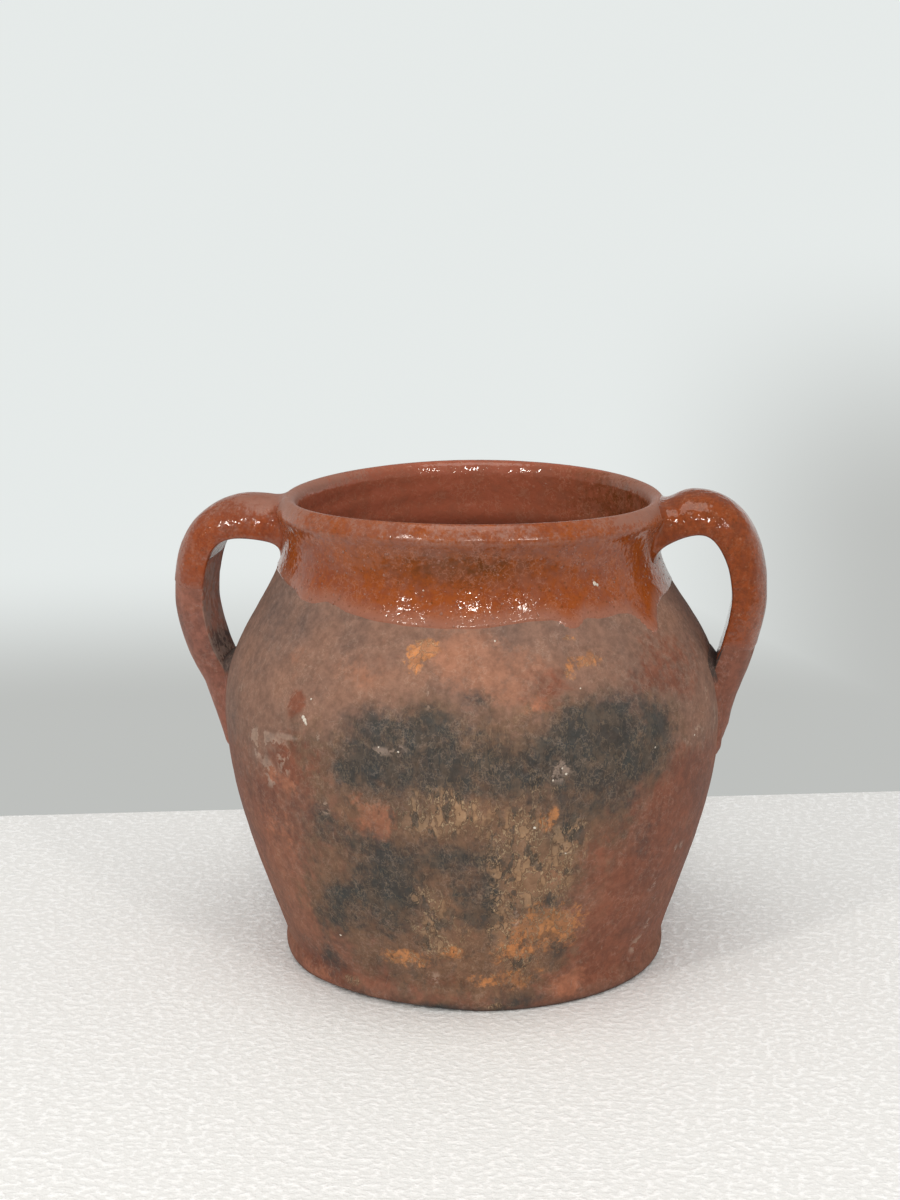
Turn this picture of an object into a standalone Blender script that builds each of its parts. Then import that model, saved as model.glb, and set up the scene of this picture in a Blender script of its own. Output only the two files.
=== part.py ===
"""Two-handled clay pot: a thrown body, two strap handles luted on with slip, and the glaze over them.

Metres, +Z up. The pot stands on Z = 0, its axis is the Z axis, and the handles lie along -X and +X.
"""

import math

import bmesh
import bpy
from mathutils import Vector

# Body, outside
POT_HEIGHT = 0.220  # rest face to the crown of the lip
FOOT_EDGE_RADIUS = 0.0868  # rim of the flat rest face
FOOT_RADIUS = 0.0895  # bead round the foot
FOOT_BEAD_HEIGHT = 0.0105  # rest face to the crease above the bead
FOOT_CREASE_RADIUS = 0.0886
FLANK_LEAN = 0.36  # outward run for each unit of height, just above the foot
BELLY_RADIUS = 0.116
BELLY_HEIGHT = 0.122
NECK_RADIUS = 0.0868
NECK_DROP = 0.0215  # crown of the lip down to the narrowest ring of the neck
SHOULDER_FULLNESS = 0.44  # share of the shoulder's rise that stays near the belly's radius
NECK_SWEEP = 0.31  # share of the shoulder's rise that stays near the neck's radius

# Body, lip and inside
MOUTH_RADIUS = 0.0812
LIP_RADIUS = 0.0046  # half the thickness of the rolled lip
LIP_UNDERCUT = math.radians(35)  # how far the roll turns under on the outside
BELLY_WALL = 0.0070
NECK_WALL = 0.0060
FOOT_WALL = 0.0090
FLOOR = 0.0090
FLOOR_FILLET = 0.014

# Handles
STRAP_WIDTH = 0.0345
ROOT_WIDTH = 0.0370
ROOT_THICKNESS = 0.0195
CREST_THICKNESS = 0.0169
LANDING_THICKNESS = 0.0157  # where the strap reaches the belly
TAIL_WIDTH = 0.0180
TAIL_THICKNESS = 0.0079
TAIL_STEP = 0.0005  # thickness of the tail's tip above its seat
STRAP_SQUARENESS = 2.5  # power of the strap's oval section: 2 is an ellipse
HANDLES = {
    "left": {
        "side": -1,
        "thickness": 0.0171,  # strap at its outermost point
        "stand_out": 0.0171,  # strap's centre line beyond the belly's radius
        "arch": 0.81,  # fullness of the bend over the top
        "rise": 0.0096,  # how steeply the strap climbs as it leaves the neck
        "root_drop": 0.0157,  # drops are measured from the crown of the lip
        "outermost_drop": 0.0537,
        "tail_lean": 0.095,  # outward run for each unit of the strap's fall, just above its tail
        "tail_drop": 0.1330,
        "glaze_end_drop": 0.0460,
    },
    "right": {
        "side": 1,
        "thickness": 0.0159,
        "stand_out": 0.0120,
        "arch": 0.735,
        "rise": 0.0205,
        "root_drop": 0.0135,
        "outermost_drop": 0.0450,
        "tail_lean": 0.030,
        "tail_drop": 0.1195,
        "glaze_end_drop": 0.0700,
    },
}

# Joints and coats
FIT_GAP = 0.0003  # between any two pieces that touch
SLIP = 0.0010  # slip between a handle and the body
SLIP_MARGIN = 0.0020  # slip smeared past the edge of the strap
GLAZE = 0.0005
GLAZE_DROP = 0.0418  # crown of the lip down to the middle of the glaze line
GLAZE_TILT = 0.0040  # the glaze line is this much higher at the left handle
GLAZE_WAVE = 0.0008
GLAZE_RUNS = (  # angle round the pot, half-width as an angle, length below the glaze line
    (math.radians(-55), math.radians(5), 0.0030),
    (math.radians(-28.5), math.radians(5), 0.0100),
)

# Fineness of the mesh
TURN_STEPS = 44
STRAP_STEPS = 22
STRAP_SIDES = 14

NECK_HEIGHT = POT_HEIGHT - NECK_DROP
LIP_CENTRE = Vector((MOUTH_RADIUS + LIP_RADIUS, POT_HEIGHT - LIP_RADIUS))
SEAT_OFFSET = FIT_GAP + SLIP + FIT_GAP


def bezier(start, pull_start, pull_end, end, steps):
    """Points of a cubic curve, both ends included."""
    points = []
    for step in range(steps + 1):
        t = step / steps
        s = 1 - t
        point = s**3 * Vector(start) + 3 * s * s * t * Vector(pull_start)
        points.append(point + 3 * s * t * t * Vector(pull_end) + t**3 * Vector(end))
    return points


def arc(centre, radius, start, end, steps):
    """Points of a circular arc, both ends included."""
    angles = [start + (end - start) * step / steps for step in range(steps + 1)]
    return [centre + radius * Vector((math.cos(a), math.sin(a))) for a in angles]


def chain(*pieces):
    """One line out of pieces that each start where the last one ended."""
    points = list(pieces[0])
    for piece in pieces[1:]:
        points += piece[1:]
    return points


def outer_outline():
    """Radius and height of the outside, from the edge of the rest face up to the crown of the lip."""
    crease = Vector((FOOT_CREASE_RADIUS, FOOT_BEAD_HEIGHT))
    bead_pull = (8 * FOOT_RADIUS - FOOT_EDGE_RADIUS - FOOT_CREASE_RADIUS) / 6
    foot = bezier(
        (FOOT_EDGE_RADIUS, 0),
        (bead_pull, FOOT_BEAD_HEIGHT * 0.15),
        (bead_pull, FOOT_BEAD_HEIGHT * 0.75),
        crease,
        4,
    )
    third = (BELLY_HEIGHT - FOOT_BEAD_HEIGHT) / 3
    flank = bezier(
        crease,
        crease + third * Vector((FLANK_LEAN, 1)),
        (BELLY_RADIUS, BELLY_HEIGHT - third),
        (BELLY_RADIUS, BELLY_HEIGHT),
        6,
    )
    shoulder = shoulder_line(BELLY_RADIUS, NECK_RADIUS, 7)
    under_lip = LIP_CENTRE + LIP_RADIUS * Vector((math.cos(LIP_UNDERCUT), -math.sin(LIP_UNDERCUT)))
    lip_pull = LIP_RADIUS * Vector((math.sin(LIP_UNDERCUT), math.cos(LIP_UNDERCUT)))
    neck_pull = Vector((NECK_RADIUS, NECK_HEIGHT + (under_lip.y - NECK_HEIGHT) / 2))
    neck = bezier((NECK_RADIUS, NECK_HEIGHT), neck_pull, under_lip - lip_pull, under_lip, 3)
    lip = arc(LIP_CENTRE, LIP_RADIUS, -LIP_UNDERCUT, math.pi / 2, 4)
    return chain(foot, flank, shoulder, neck, lip)


def shoulder_line(belly_radius, neck_radius, steps):
    """The curve from the widest ring of the belly up to the narrowest ring of the neck."""
    rise = NECK_HEIGHT - BELLY_HEIGHT
    return bezier(
        (belly_radius, BELLY_HEIGHT),
        (belly_radius, BELLY_HEIGHT + SHOULDER_FULLNESS * rise),
        (neck_radius, NECK_HEIGHT - NECK_SWEEP * rise),
        (neck_radius, NECK_HEIGHT),
        steps,
    )


def inner_outline():
    """Radius and height of the inside, from the crown of the lip down to the middle of the floor."""
    neck_radius = NECK_RADIUS - NECK_WALL
    belly_radius = BELLY_RADIUS - BELLY_WALL
    corner_radius = FOOT_CREASE_RADIUS - FOOT_WALL
    lip = arc(LIP_CENTRE, LIP_RADIUS, math.pi / 2, math.pi, 3)
    drop = (LIP_CENTRE.y - NECK_HEIGHT) / 3
    throat = bezier(
        (MOUTH_RADIUS, LIP_CENTRE.y),
        (MOUTH_RADIUS, LIP_CENTRE.y - drop),
        (neck_radius, NECK_HEIGHT + drop),
        (neck_radius, NECK_HEIGHT),
        1,
    )
    shoulder = shoulder_line(belly_radius, neck_radius, 5)[::-1]
    corner = Vector((corner_radius, FLOOR + FLOOR_FILLET))
    third = (BELLY_HEIGHT - corner.y) / 3
    flank = bezier(
        (belly_radius, BELLY_HEIGHT),
        (belly_radius, BELLY_HEIGHT - third),
        corner + third * Vector((FLANK_LEAN, 1)),
        corner,
        4,
    )
    fillet_centre = Vector((corner_radius - FLOOR_FILLET, FLOOR + FLOOR_FILLET))
    fillet = arc(fillet_centre, FLOOR_FILLET, 0, -math.pi / 2, 3)
    return chain(lip, throat, shoulder, flank, fillet, [fillet[-1], Vector((0, FLOOR))])


def offset_line(points, distance):
    """The same line moved to its right-hand side, which is away from the clay."""
    moved = []
    for i, point in enumerate(points):
        before = (point - points[max(i - 1, 0)]).normalized()
        after = (points[min(i + 1, len(points) - 1)] - point).normalized()
        before = before if before.length else after
        after = after if after.length else before
        along = (before + after).normalized()
        spread = max(along.dot(after), 0.5)
        moved.append(point + Vector((along.y, -along.x)) * (distance / spread))
    return moved


def height_lookup(outline):
    """A function that gives the radius of a rising outline at a height."""

    def radius_at(height):
        for low, high in zip(outline, outline[1:]):
            if low.y <= height <= high.y and high.y > low.y:
                return low.x + (high.x - low.x) * (height - low.y) / (high.y - low.y)
        return outline[-1].x

    return radius_at


def make_object(name, mesh_builder, material=None):
    """A new object from a bmesh that mesh_builder fills. One with no material only cuts the others."""
    mesh = bpy.data.meshes.new(name)
    work = bmesh.new()
    mesh_builder(work)
    bmesh.ops.recalc_face_normals(work, faces=work.faces)
    work.to_mesh(mesh)
    work.free()
    mesh.shade_smooth()
    mesh.set_sharp_from_angle(angle=math.radians(40))
    made = bpy.data.objects.new(name, mesh)
    bpy.context.scene.collection.objects.link(made)
    if material:
        mesh.materials.append(material)
    else:
        made.hide_render = True
        made.display_type = "WIRE"
    return made


def boolean(target, operation, tool):
    """Cuts or joins target with tool, with the exact solver."""
    modifier = target.modifiers.new(f"{operation.lower()}_{tool.name}", "BOOLEAN")
    modifier.operation = operation
    modifier.solver = "EXACT"
    modifier.object = tool


def turned(outline, closed):
    """A builder that turns an outline about the Z axis. A closed outline makes a ring."""

    def build(work):
        points = [work.verts.new((p.x, 0, p.y)) for p in outline]
        edges = [work.edges.new(pair) for pair in zip(points, points[1:])]
        if closed:
            edges.append(work.edges.new((points[-1], points[0])))
        bmesh.ops.spin(
            work,
            geom=points + edges,
            cent=(0, 0, 0),
            axis=(0, 0, 1),
            angle=math.tau,
            steps=TURN_STEPS,
            use_merge=True,
        )
        bmesh.ops.remove_doubles(work, verts=work.verts, dist=FIT_GAP / 100)

    return build


def strap_path(handle):
    """Centre line of a strap as radius and height: out of the neck, over, and down into the belly."""
    half_root = ROOT_WIDTH / 2 + SLIP_MARGIN
    start = Vector((math.sqrt(NECK_RADIUS**2 - half_root**2) - FIT_GAP * 4, POT_HEIGHT - handle["root_drop"]))
    out = Vector((BELLY_RADIUS + handle["stand_out"], POT_HEIGHT - handle["outermost_drop"]))
    tail_height = POT_HEIGHT - handle["tail_drop"]
    radius_at = height_lookup(outer_outline())
    tail = Vector((radius_at(tail_height) + SEAT_OFFSET + TAIL_STEP - TAIL_THICKNESS / 2, tail_height))
    fall = start.y - out.y
    over = bezier(
        start,
        start + Vector(((out.x - start.x) * handle["arch"], handle["rise"])),
        out + Vector((0, fall * handle["arch"])),
        out,
        STRAP_STEPS // 2,
    )
    drop = out.y - tail.y
    down = bezier(
        out,
        out - Vector((0, drop * 0.19)),
        tail + Vector((drop * handle["tail_lean"], drop * 0.36)),
        tail,
        STRAP_STEPS // 2,
    )
    return chain(over, down)


def strap_rings(handle, grow):
    """Rings of points round a strap from root to tail, with the section grown outwards all round."""
    path = strap_path(handle)
    widths = [ROOT_WIDTH, STRAP_WIDTH, STRAP_WIDTH, STRAP_WIDTH, STRAP_WIDTH * 0.9, TAIL_WIDTH]
    depths = [ROOT_THICKNESS, CREST_THICKNESS, handle["thickness"], LANDING_THICKNESS, TAIL_THICKNESS]
    rings = []
    for i, point in enumerate(path):
        share = i / (len(path) - 1)
        along = (path[min(i + 1, len(path) - 1)] - path[max(i - 1, 0)]).normalized()
        out = Vector((along.y, -along.x))
        half_width = ease(widths, share) / 2 + grow
        half_depth = ease(depths, share) / 2 + grow
        ring = []
        for side in range(STRAP_SIDES):
            turn = math.tau * side / STRAP_SIDES
            across = rounded(math.cos(turn)) * half_width
            place = point + out * (rounded(math.sin(turn)) * half_depth)
            ring.append(Vector((handle["side"] * place.x, across, place.y)))
        rings.append(ring)
    return rings


def glazed_rings(handle, grow):
    """The rings of a strap from its root down to the height where its glaze ends."""
    level = POT_HEIGHT - handle["glaze_end_drop"]
    path = strap_path(handle)
    rings = strap_rings(handle, grow)
    for i in range(len(path) // 4, len(path) - 1):
        if path[i + 1].y < level:
            share = (path[i].y - level) / (path[i].y - path[i + 1].y)
            share = max(share, 0.2)
            last = [a.lerp(b, share) for a, b in zip(rings[i], rings[i + 1])]
            return [*rings[: i + 1], last]
    return rings


def rounded(value):
    """One coordinate of the strap's oval section, from -1 to 1."""
    return math.copysign(abs(value) ** (2 / STRAP_SQUARENESS), value)


def ease(stations, share):
    """A value that runs smoothly through evenly spaced stations."""
    place = share * (len(stations) - 1)
    low = min(int(place), len(stations) - 2)
    t = place - low
    return stations[low] + (stations[low + 1] - stations[low]) * t * t * (3 - 2 * t)


def skin(work, rings):
    """Faces between consecutive closed rings. Returns the rings' vertices."""
    loops = [[work.verts.new(point) for point in ring] for ring in rings]
    for low, high in zip(loops, loops[1:]):
        for i in range(len(low)):
            j = (i + 1) % len(low)
            work.faces.new((low[i], low[j], high[j], high[i]))
    return loops


def lofted(rings):
    """A builder for a solid bar through the rings, with flat ends."""

    def build(work):
        loops = skin(work, rings)
        work.faces.new(loops[0])
        work.faces.new(loops[-1])

    return build


def sleeve(inner_rings, outer_rings):
    """A builder for a tube between two sets of rings, open at both ends."""

    def build(work):
        inner = skin(work, inner_rings)
        outer = skin(work, outer_rings)
        for end in (0, -1):
            low, high = inner[end], outer[end]
            for i in range(len(low)):
                j = (i + 1) % len(low)
                work.faces.new((low[i], low[j], high[j], high[i]))

    return build


def glaze_line(angle):
    """Height of the lower edge of the glaze at an angle round the pot."""
    height = POT_HEIGHT - GLAZE_DROP - GLAZE_TILT * math.cos(angle) + GLAZE_WAVE * math.sin(5 * angle)
    for centre, half_width, length in GLAZE_RUNS:
        away = math.remainder(angle - centre, math.tau) / half_width
        if abs(away) < 1:
            height -= length * (0.5 + 0.5 * math.cos(math.pi * away))
    return height


def glaze_angles():
    """Angles of the coat's columns: even steps, and closer ones across each run of glaze."""
    angles = [math.tau * step / TURN_STEPS for step in range(TURN_STEPS)]
    for centre, half_width, _ in GLAZE_RUNS:
        near = [(centre + half_width * share) % math.tau for share in (-1, -0.5, 0, 0.5, 1)]
        angles = [a for a in angles if abs(math.remainder(a - centre, math.tau)) > half_width * 1.25]
        angles += near
    return sorted(angles)


def glaze_coat(work):
    """A thin shell from the wavy glaze line up the neck, over the lip and down the whole inside."""
    outside = outer_outline()
    radius_at = height_lookup(outside)
    above = [p for p in outside if p.y > NECK_HEIGHT - FIT_GAP] + inner_outline()[1:]
    rows_below = 4
    columns = []
    for angle in glaze_angles():
        low = glaze_line(angle)
        heights = [low + (NECK_HEIGHT - low) * row / rows_below for row in range(rows_below)]
        line = [Vector((radius_at(h), h)) for h in heights] + above
        turn = Vector((math.cos(angle), math.sin(angle)))
        columns.append([column_points(line, gap, turn) for gap in (FIT_GAP, FIT_GAP + GLAZE)])
    poles = [work.verts.new((0, 0, FLOOR + gap)) for gap in (FIT_GAP, FIT_GAP + GLAZE)]
    verts = [[[work.verts.new(p) for p in side] for side in column] for column in columns]
    for here, there in zip(verts, verts[1:] + verts[:1]):
        for side in (0, 1):
            for row in range(len(here[side]) - 1):
                work.faces.new((here[side][row], there[side][row], there[side][row + 1], here[side][row + 1]))
            work.faces.new((here[side][-1], there[side][-1], poles[side]))
        work.faces.new((here[0][0], there[0][0], there[1][0], here[1][0]))


def column_points(line, gap, turn):
    """One column of the coat: the outline moved off the clay and swung round the axis, without its pole."""
    return [(p.x * turn.x, p.x * turn.y, p.y) for p in offset_line(line, gap)[:-1]]


def surface(name, colour, roughness):
    """A plain material of one colour."""
    material = bpy.data.materials.new(name)
    material.use_nodes = True
    shader = material.node_tree.nodes["Principled BSDF"]
    shader.inputs["Base Color"].default_value = (*colour, 1)
    shader.inputs["Roughness"].default_value = roughness
    shader.inputs["Metallic"].default_value = 0
    return material


def filled_outline(distance):
    """Closed outline of the whole pot as a solid lump, grown by distance, for cutting seats."""
    grown = offset_line(outer_outline(), distance)
    return [Vector((0, -distance)), *grown, Vector((0, grown[-1].y))]


def build_pot():
    for old in list(bpy.data.objects):
        bpy.data.objects.remove(old)

    pot_clay = surface("pot_clay", (0.175, 0.085, 0.058), 0.85)
    handle_clay = surface("handle_clay", (0.260, 0.105, 0.070), 0.75)
    slip_clay = surface("slip_clay", (0.200, 0.080, 0.055), 0.85)
    neck_glaze = surface("neck_glaze", (0.290, 0.064, 0.022), 0.18)
    handle_glaze = surface("handle_glaze", (0.340, 0.085, 0.026), 0.18)

    body_outline = [Vector((0, 0)), *outer_outline(), *inner_outline()[1:]]
    make_object("pot_body", turned(body_outline, closed=False), pot_clay)
    coat = make_object("glaze_coat", glaze_coat, neck_glaze)

    seat = make_object("seat_cutter", turned(filled_outline(SEAT_OFFSET), closed=False))
    band_outline = offset_line(outer_outline(), FIT_GAP) + offset_line(outer_outline(), FIT_GAP + SLIP)[::-1]
    band = make_object("slip_band", turned(band_outline, closed=True))

    for side, handle in HANDLES.items():
        strap = make_object(f"handle_{side}", lofted(strap_rings(handle, 0)), handle_clay)
        boolean(strap, "DIFFERENCE", seat)

        rings = strap_rings(handle, SLIP_MARGIN)
        for place, part in (("upper", rings[: STRAP_STEPS // 3]), ("lower", rings[STRAP_STEPS // 2 :])):
            pad = make_object(f"slip_joint_{place}_{side}", lofted(part), slip_clay)
            boolean(pad, "INTERSECT", band)

        clearance = strap_rings(handle, SLIP_MARGIN + FIT_GAP)[: STRAP_STEPS // 3]
        window = make_object(f"root_window_{side}", lofted(clearance))
        boolean(coat, "DIFFERENCE", window)

        inner = glazed_rings(handle, FIT_GAP)
        outer = glazed_rings(handle, FIT_GAP + GLAZE)
        glaze = make_object(f"handle_glaze_{side}", sleeve(inner, outer), handle_glaze)
        boolean(glaze, "DIFFERENCE", seat)


build_pot()
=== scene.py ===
import math

import bmesh
import bpy
import numpy as np
from mathutils import Matrix, Vector, noise
from mathutils.bvhtree import BVHTree


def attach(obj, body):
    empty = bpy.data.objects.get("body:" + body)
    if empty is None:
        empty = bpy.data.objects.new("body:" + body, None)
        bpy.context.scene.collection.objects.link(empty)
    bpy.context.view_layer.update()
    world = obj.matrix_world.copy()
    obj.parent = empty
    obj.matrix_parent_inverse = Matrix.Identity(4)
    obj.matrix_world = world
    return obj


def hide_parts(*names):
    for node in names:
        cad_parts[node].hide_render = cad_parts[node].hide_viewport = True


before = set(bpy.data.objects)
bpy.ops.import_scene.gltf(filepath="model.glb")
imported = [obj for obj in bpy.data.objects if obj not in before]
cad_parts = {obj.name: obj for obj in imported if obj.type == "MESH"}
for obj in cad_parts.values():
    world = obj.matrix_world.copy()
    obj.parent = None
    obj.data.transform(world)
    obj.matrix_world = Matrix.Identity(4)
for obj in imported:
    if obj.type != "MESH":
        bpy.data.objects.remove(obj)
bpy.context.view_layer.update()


class Value:
    # a socket that adds and multiplies like a number
    def __init__(self, bench, socket):
        self.bench, self.socket = bench, socket

    def __add__(self, other):
        return self.bench.calc("ADD", self, other)

    def __sub__(self, other):
        return self.bench.calc("SUBTRACT", self, other)

    def __rsub__(self, other):
        return self.bench.calc("SUBTRACT", other, self)

    def __mul__(self, other):
        return self.bench.calc("MULTIPLY", self, other)

    def __truediv__(self, other):
        return self.bench.calc("DIVIDE", self, other)


class NodeBench:
    # short hand for wiring nodes
    def __init__(self, tree):
        self.tree = tree

    def feed(self, socket, value):
        if isinstance(value, Value):
            value = value.socket
        if isinstance(value, bpy.types.NodeSocket):
            self.tree.links.new(value, socket)
        else:
            socket.default_value = value

    def put(self, kind, feeds=None, **settings):
        # settings come first, because some of them change the sockets
        node = self.tree.nodes.new(kind)
        for name, value in settings.items():
            setattr(node, name, value)
        for name, value in (feeds or {}).items():
            self.feed(node.inputs[name], value)
        return node

    def get(self, output, kind, feeds=None, **settings):
        return Value(self, self.put(kind, feeds, **settings).outputs[output])

    def calc(self, operation, *values):
        return self.get(0, "ShaderNodeMath", dict(enumerate(values)), operation=operation)

    def ease(self, value, low, high, start=0.0, end=1.0):
        feeds = dict(enumerate((value, low, high, start, end)))
        return self.get(0, "ShaderNodeMapRange", feeds, interpolation_type="SMOOTHSTEP")

    def fall(self, value, low, high):
        return self.ease(value, low, high, 1.0, 0.0)

    def vector(self, x, y, z):
        return self.get(0, "ShaderNodeCombineXYZ", {0: x, 1: y, 2: z})

    def split(self, vector):
        return [Value(self, s) for s in self.put("ShaderNodeSeparateXYZ", {0: vector}).outputs]

    def scaled(self, vector, scale):
        feeds = {0: vector, "Scale": scale}
        return self.get(0, "ShaderNodeVectorMath", feeds, operation="SCALE")

    def noise(self, place, scale, detail=2.0, rough=0.5):
        feeds = {"Vector": place, "Scale": scale, "Detail": detail, "Roughness": rough}
        return self.get("Fac", "ShaderNodeTexNoise", feeds)

    def mix(self, share, first, second, way="MIX"):
        tones = [tone if isinstance(tone, Value) else (*tone, 1) for tone in (first, second)]
        feeds = {0: share, 6: tones[0], 7: tones[1]}
        return self.get(2, "ShaderNodeMix", feeds, data_type="RGBA", blend_type=way)

    def seen(self):
        # rays that show a surface to the eye
        rays = self.put("ShaderNodeLightPath").outputs
        either = self.calc("MAXIMUM", rays["Is Camera Ray"], rays["Is Glossy Ray"])
        return self.calc("MAXIMUM", either, rays["Is Transmission Ray"])

    def named(self, name, kind="FLOAT"):
        return self.get(0, "GeometryNodeInputNamedAttribute", {"Name": name}, data_type=kind)

    def sealed(self, flow, material):
        for kind in ("GeometryNodeRealizeInstances", "GeometryNodeSetShadeSmooth"):
            flow = self.get(0, kind, {"Geometry": flow})
        return self.get(0, "GeometryNodeSetMaterial", {"Geometry": flow, "Material": material})


def newTree(name, kind, ins, outs):
    tree = bpy.data.node_groups.new(name, kind)
    for title, sort, value in ins:
        socket = "NodeSocket" + sort
        item = tree.interface.new_socket(name=title, in_out="INPUT", socket_type=socket)
        if value is not None:
            item.default_value = value
    for title, sort in outs:
        tree.interface.new_socket(name=title, in_out="OUTPUT", socket_type="NodeSocket" + sort)
    bench = NodeBench(tree)
    given = {s.name: Value(bench, s) for s in bench.put("NodeGroupInput").outputs}
    return bench, given, bench.put("NodeGroupOutput").inputs


def useTree(obj, bench, values):
    # inputs are set by identifier, then the result becomes a plain mesh
    items = bench.tree.interface.items_tree
    ids = {item.name: item.identifier for item in items if item.in_out == "INPUT"}
    modifier = obj.modifiers.new(bench.tree.name, "NODES")
    modifier.node_group = bench.tree
    for name, value in values.items():
        modifier[ids[name]] = value
    settle(obj)


def settle(obj):
    graph = bpy.context.evaluated_depsgraph_get()
    mesh = bpy.data.meshes.new_from_object(
        obj.evaluated_get(graph), preserve_all_data_layers=True, depsgraph=graph)
    obj.modifiers.clear()
    obj.data = mesh
    mesh.name = obj.name


def addObject(name, verts, faces, edges=()):
    mesh = bpy.data.meshes.new(name)
    mesh.from_pydata([tuple(v) for v in verts], list(edges), faces)
    obj = bpy.data.objects.new(name, mesh)
    bpy.context.scene.collection.objects.link(obj)
    return obj


def addLine(name, verts):
    return addObject(name, verts, [], [(i, i + 1) for i in range(len(verts) - 1)])


def outwards(obj):
    # doubles merged, faces turned outwards, smooth
    work = bmesh.new()
    work.from_mesh(obj.data)
    bmesh.ops.remove_doubles(work, verts=work.verts, dist=1e-6)
    bmesh.ops.recalc_face_normals(work, faces=work.faces)
    work.to_mesh(obj.data)
    work.free()
    obj.data.shade_smooth()
    return obj


def readVectors(obj, name):
    flat = np.zeros(len(obj.data.vertices) * 3, np.float32)
    obj.data.vertices.foreach_get(name, flat)
    return flat.reshape(-1, 3).astype(float)


def setMask(obj, name, values):
    layer = obj.data.attributes.get(name) or obj.data.attributes.new(name, "FLOAT", "POINT")
    layer.data.foreach_set("value", np.asarray(values, np.float32))


def setVectors(obj, name, vectors):
    layer = obj.data.attributes.new(name, "FLOAT_VECTOR", "POINT")
    layer.data.foreach_set("vector", np.array(vectors, np.float32).ravel())


def ramp(values, low, high):
    share = np.clip((np.asarray(values, float) - low) / (high - low), 0, 1)
    return share * share * (3 - 2 * share)


def curvePoints(start, pullStart, pullEnd, end, steps):
    t = np.linspace(0, 1, steps + 1)[:, None]
    s = 1 - t
    ends = s**3 * np.array(start) + t**3 * np.array(end)
    return ends + 3 * s * s * t * np.array(pullStart) + 3 * s * t * t * np.array(pullEnd)


def arcPoints(centre, radius, start, end, steps):
    turn = np.linspace(start, end, steps + 1)
    return np.array(centre) + radius * np.stack([np.cos(turn), np.sin(turn)], 1)


def chain(*pieces):
    return np.vstack([pieces[0], *[piece[1:] for piece in pieces[1:]]])


def unit(vectors):
    return vectors / np.maximum(np.linalg.norm(vectors, axis=-1, keepdims=True), 1e-9)


# steps are counted for foot, flank, shoulder, neck and lip outside,
# and for lip, throat, shoulder, flank and floor inside
pot = {
    "height": 0.220,
    "footEdge": 0.0868,
    "foot": 0.0895,
    "footBead": 0.0105,
    "footPulls": (0.15, 0.75),
    "footCrease": 0.0886,
    "flankLean": 0.36,
    "belly": 0.116,
    "bellyHeight": 0.122,
    "neck": 0.0868,
    "neckHeight": 0.1985,
    "neckPull": 0.7,
    "shoulderFullness": 0.44,
    "neckSweep": 0.31,
    "mouth": 0.0812,
    "lip": 0.0046,
    "lipEase": 0.0006,
    "lipFlat": 0.002,
    "lipSlope": 161.5,
    "lipUnder": (0.0882, 0.2092),
    "lipEdge": (0.0902, 0.2137),
    "lipPulls": (
        (-0.0007, -0.0019), (0.0006, 0.0016), (0.0001, -0.0016), (-0.0001, 0.0006), (0.0018, 0),
    ),
    "bellyWall": 0.007,
    "neckWall": 0.006,
    "footWall": 0.009,
    "floor": 0.009,
    "floorFillet": 0.014,
    "columns": 300,
    "underPoints": 13,
    "outsideSteps": (12, 62, 52, 12, 12),
    "insideSteps": (8, 4, 12, 14, 6),
    "fineSteps": (20, 80, 80, 20, 12),
    "lipInnerSteps": 3,
    "filletSteps": 6,
}
lipCentre = np.array((pot["mouth"] + pot["lip"], pot["height"] - pot["lip"]))


def shoulderLine(belly, neck, steps):
    low, high = pot["bellyHeight"], pot["neckHeight"]
    full = low + pot["shoulderFullness"] * (high - low)
    sweep = high - pot["neckSweep"] * (high - low)
    return curvePoints((belly, low), (belly, full), (neck, sweep), (neck, high), steps)


def flankLine(corner, belly, steps):
    third = (pot["bellyHeight"] - corner[1]) / 3
    widest = np.array((belly, pot["bellyHeight"]))
    lean = corner + third * np.array((pot["flankLean"], 1))
    return curvePoints(corner, lean, widest - (0, third), widest, steps)


def outsideLine(footSteps, flankSteps, shoulderSteps, neckSteps, lipSteps):
    bead = pot["footBead"]
    crease = np.array((pot["footCrease"], bead))
    pull = (8 * pot["foot"] - pot["footEdge"] - pot["footCrease"]) / 6
    low, high = ((pull, bead * share) for share in pot["footPulls"])
    foot = curvePoints((pot["footEdge"], 0), low, high, crease, footSteps)
    flank = flankLine(crease, pot["belly"], flankSteps)
    shoulder = shoulderLine(pot["belly"], pot["neck"], shoulderSteps)
    narrow = np.array((pot["neck"], pot["neckHeight"]))
    under, edge = np.array(pot["lipUnder"]), np.array(pot["lipEdge"])
    top = lipCentre + (0, pot["lip"])
    pulls = np.array(pot["lipPulls"])
    straight = narrow + (0, (under[1] - narrow[1]) * pot["neckPull"])
    neck = curvePoints(narrow, straight, under + pulls[0], under, neckSteps)
    # the lip leans outwards and turns in quickly at its lower edge
    turned = curvePoints(under, under + pulls[1], edge + pulls[2], edge, lipSteps // 3)
    leaning = curvePoints(edge, edge + pulls[3], top + pulls[4], top, lipSteps - lipSteps // 3)
    return chain(foot, flank, shoulder, neck, turned, leaning)


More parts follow.
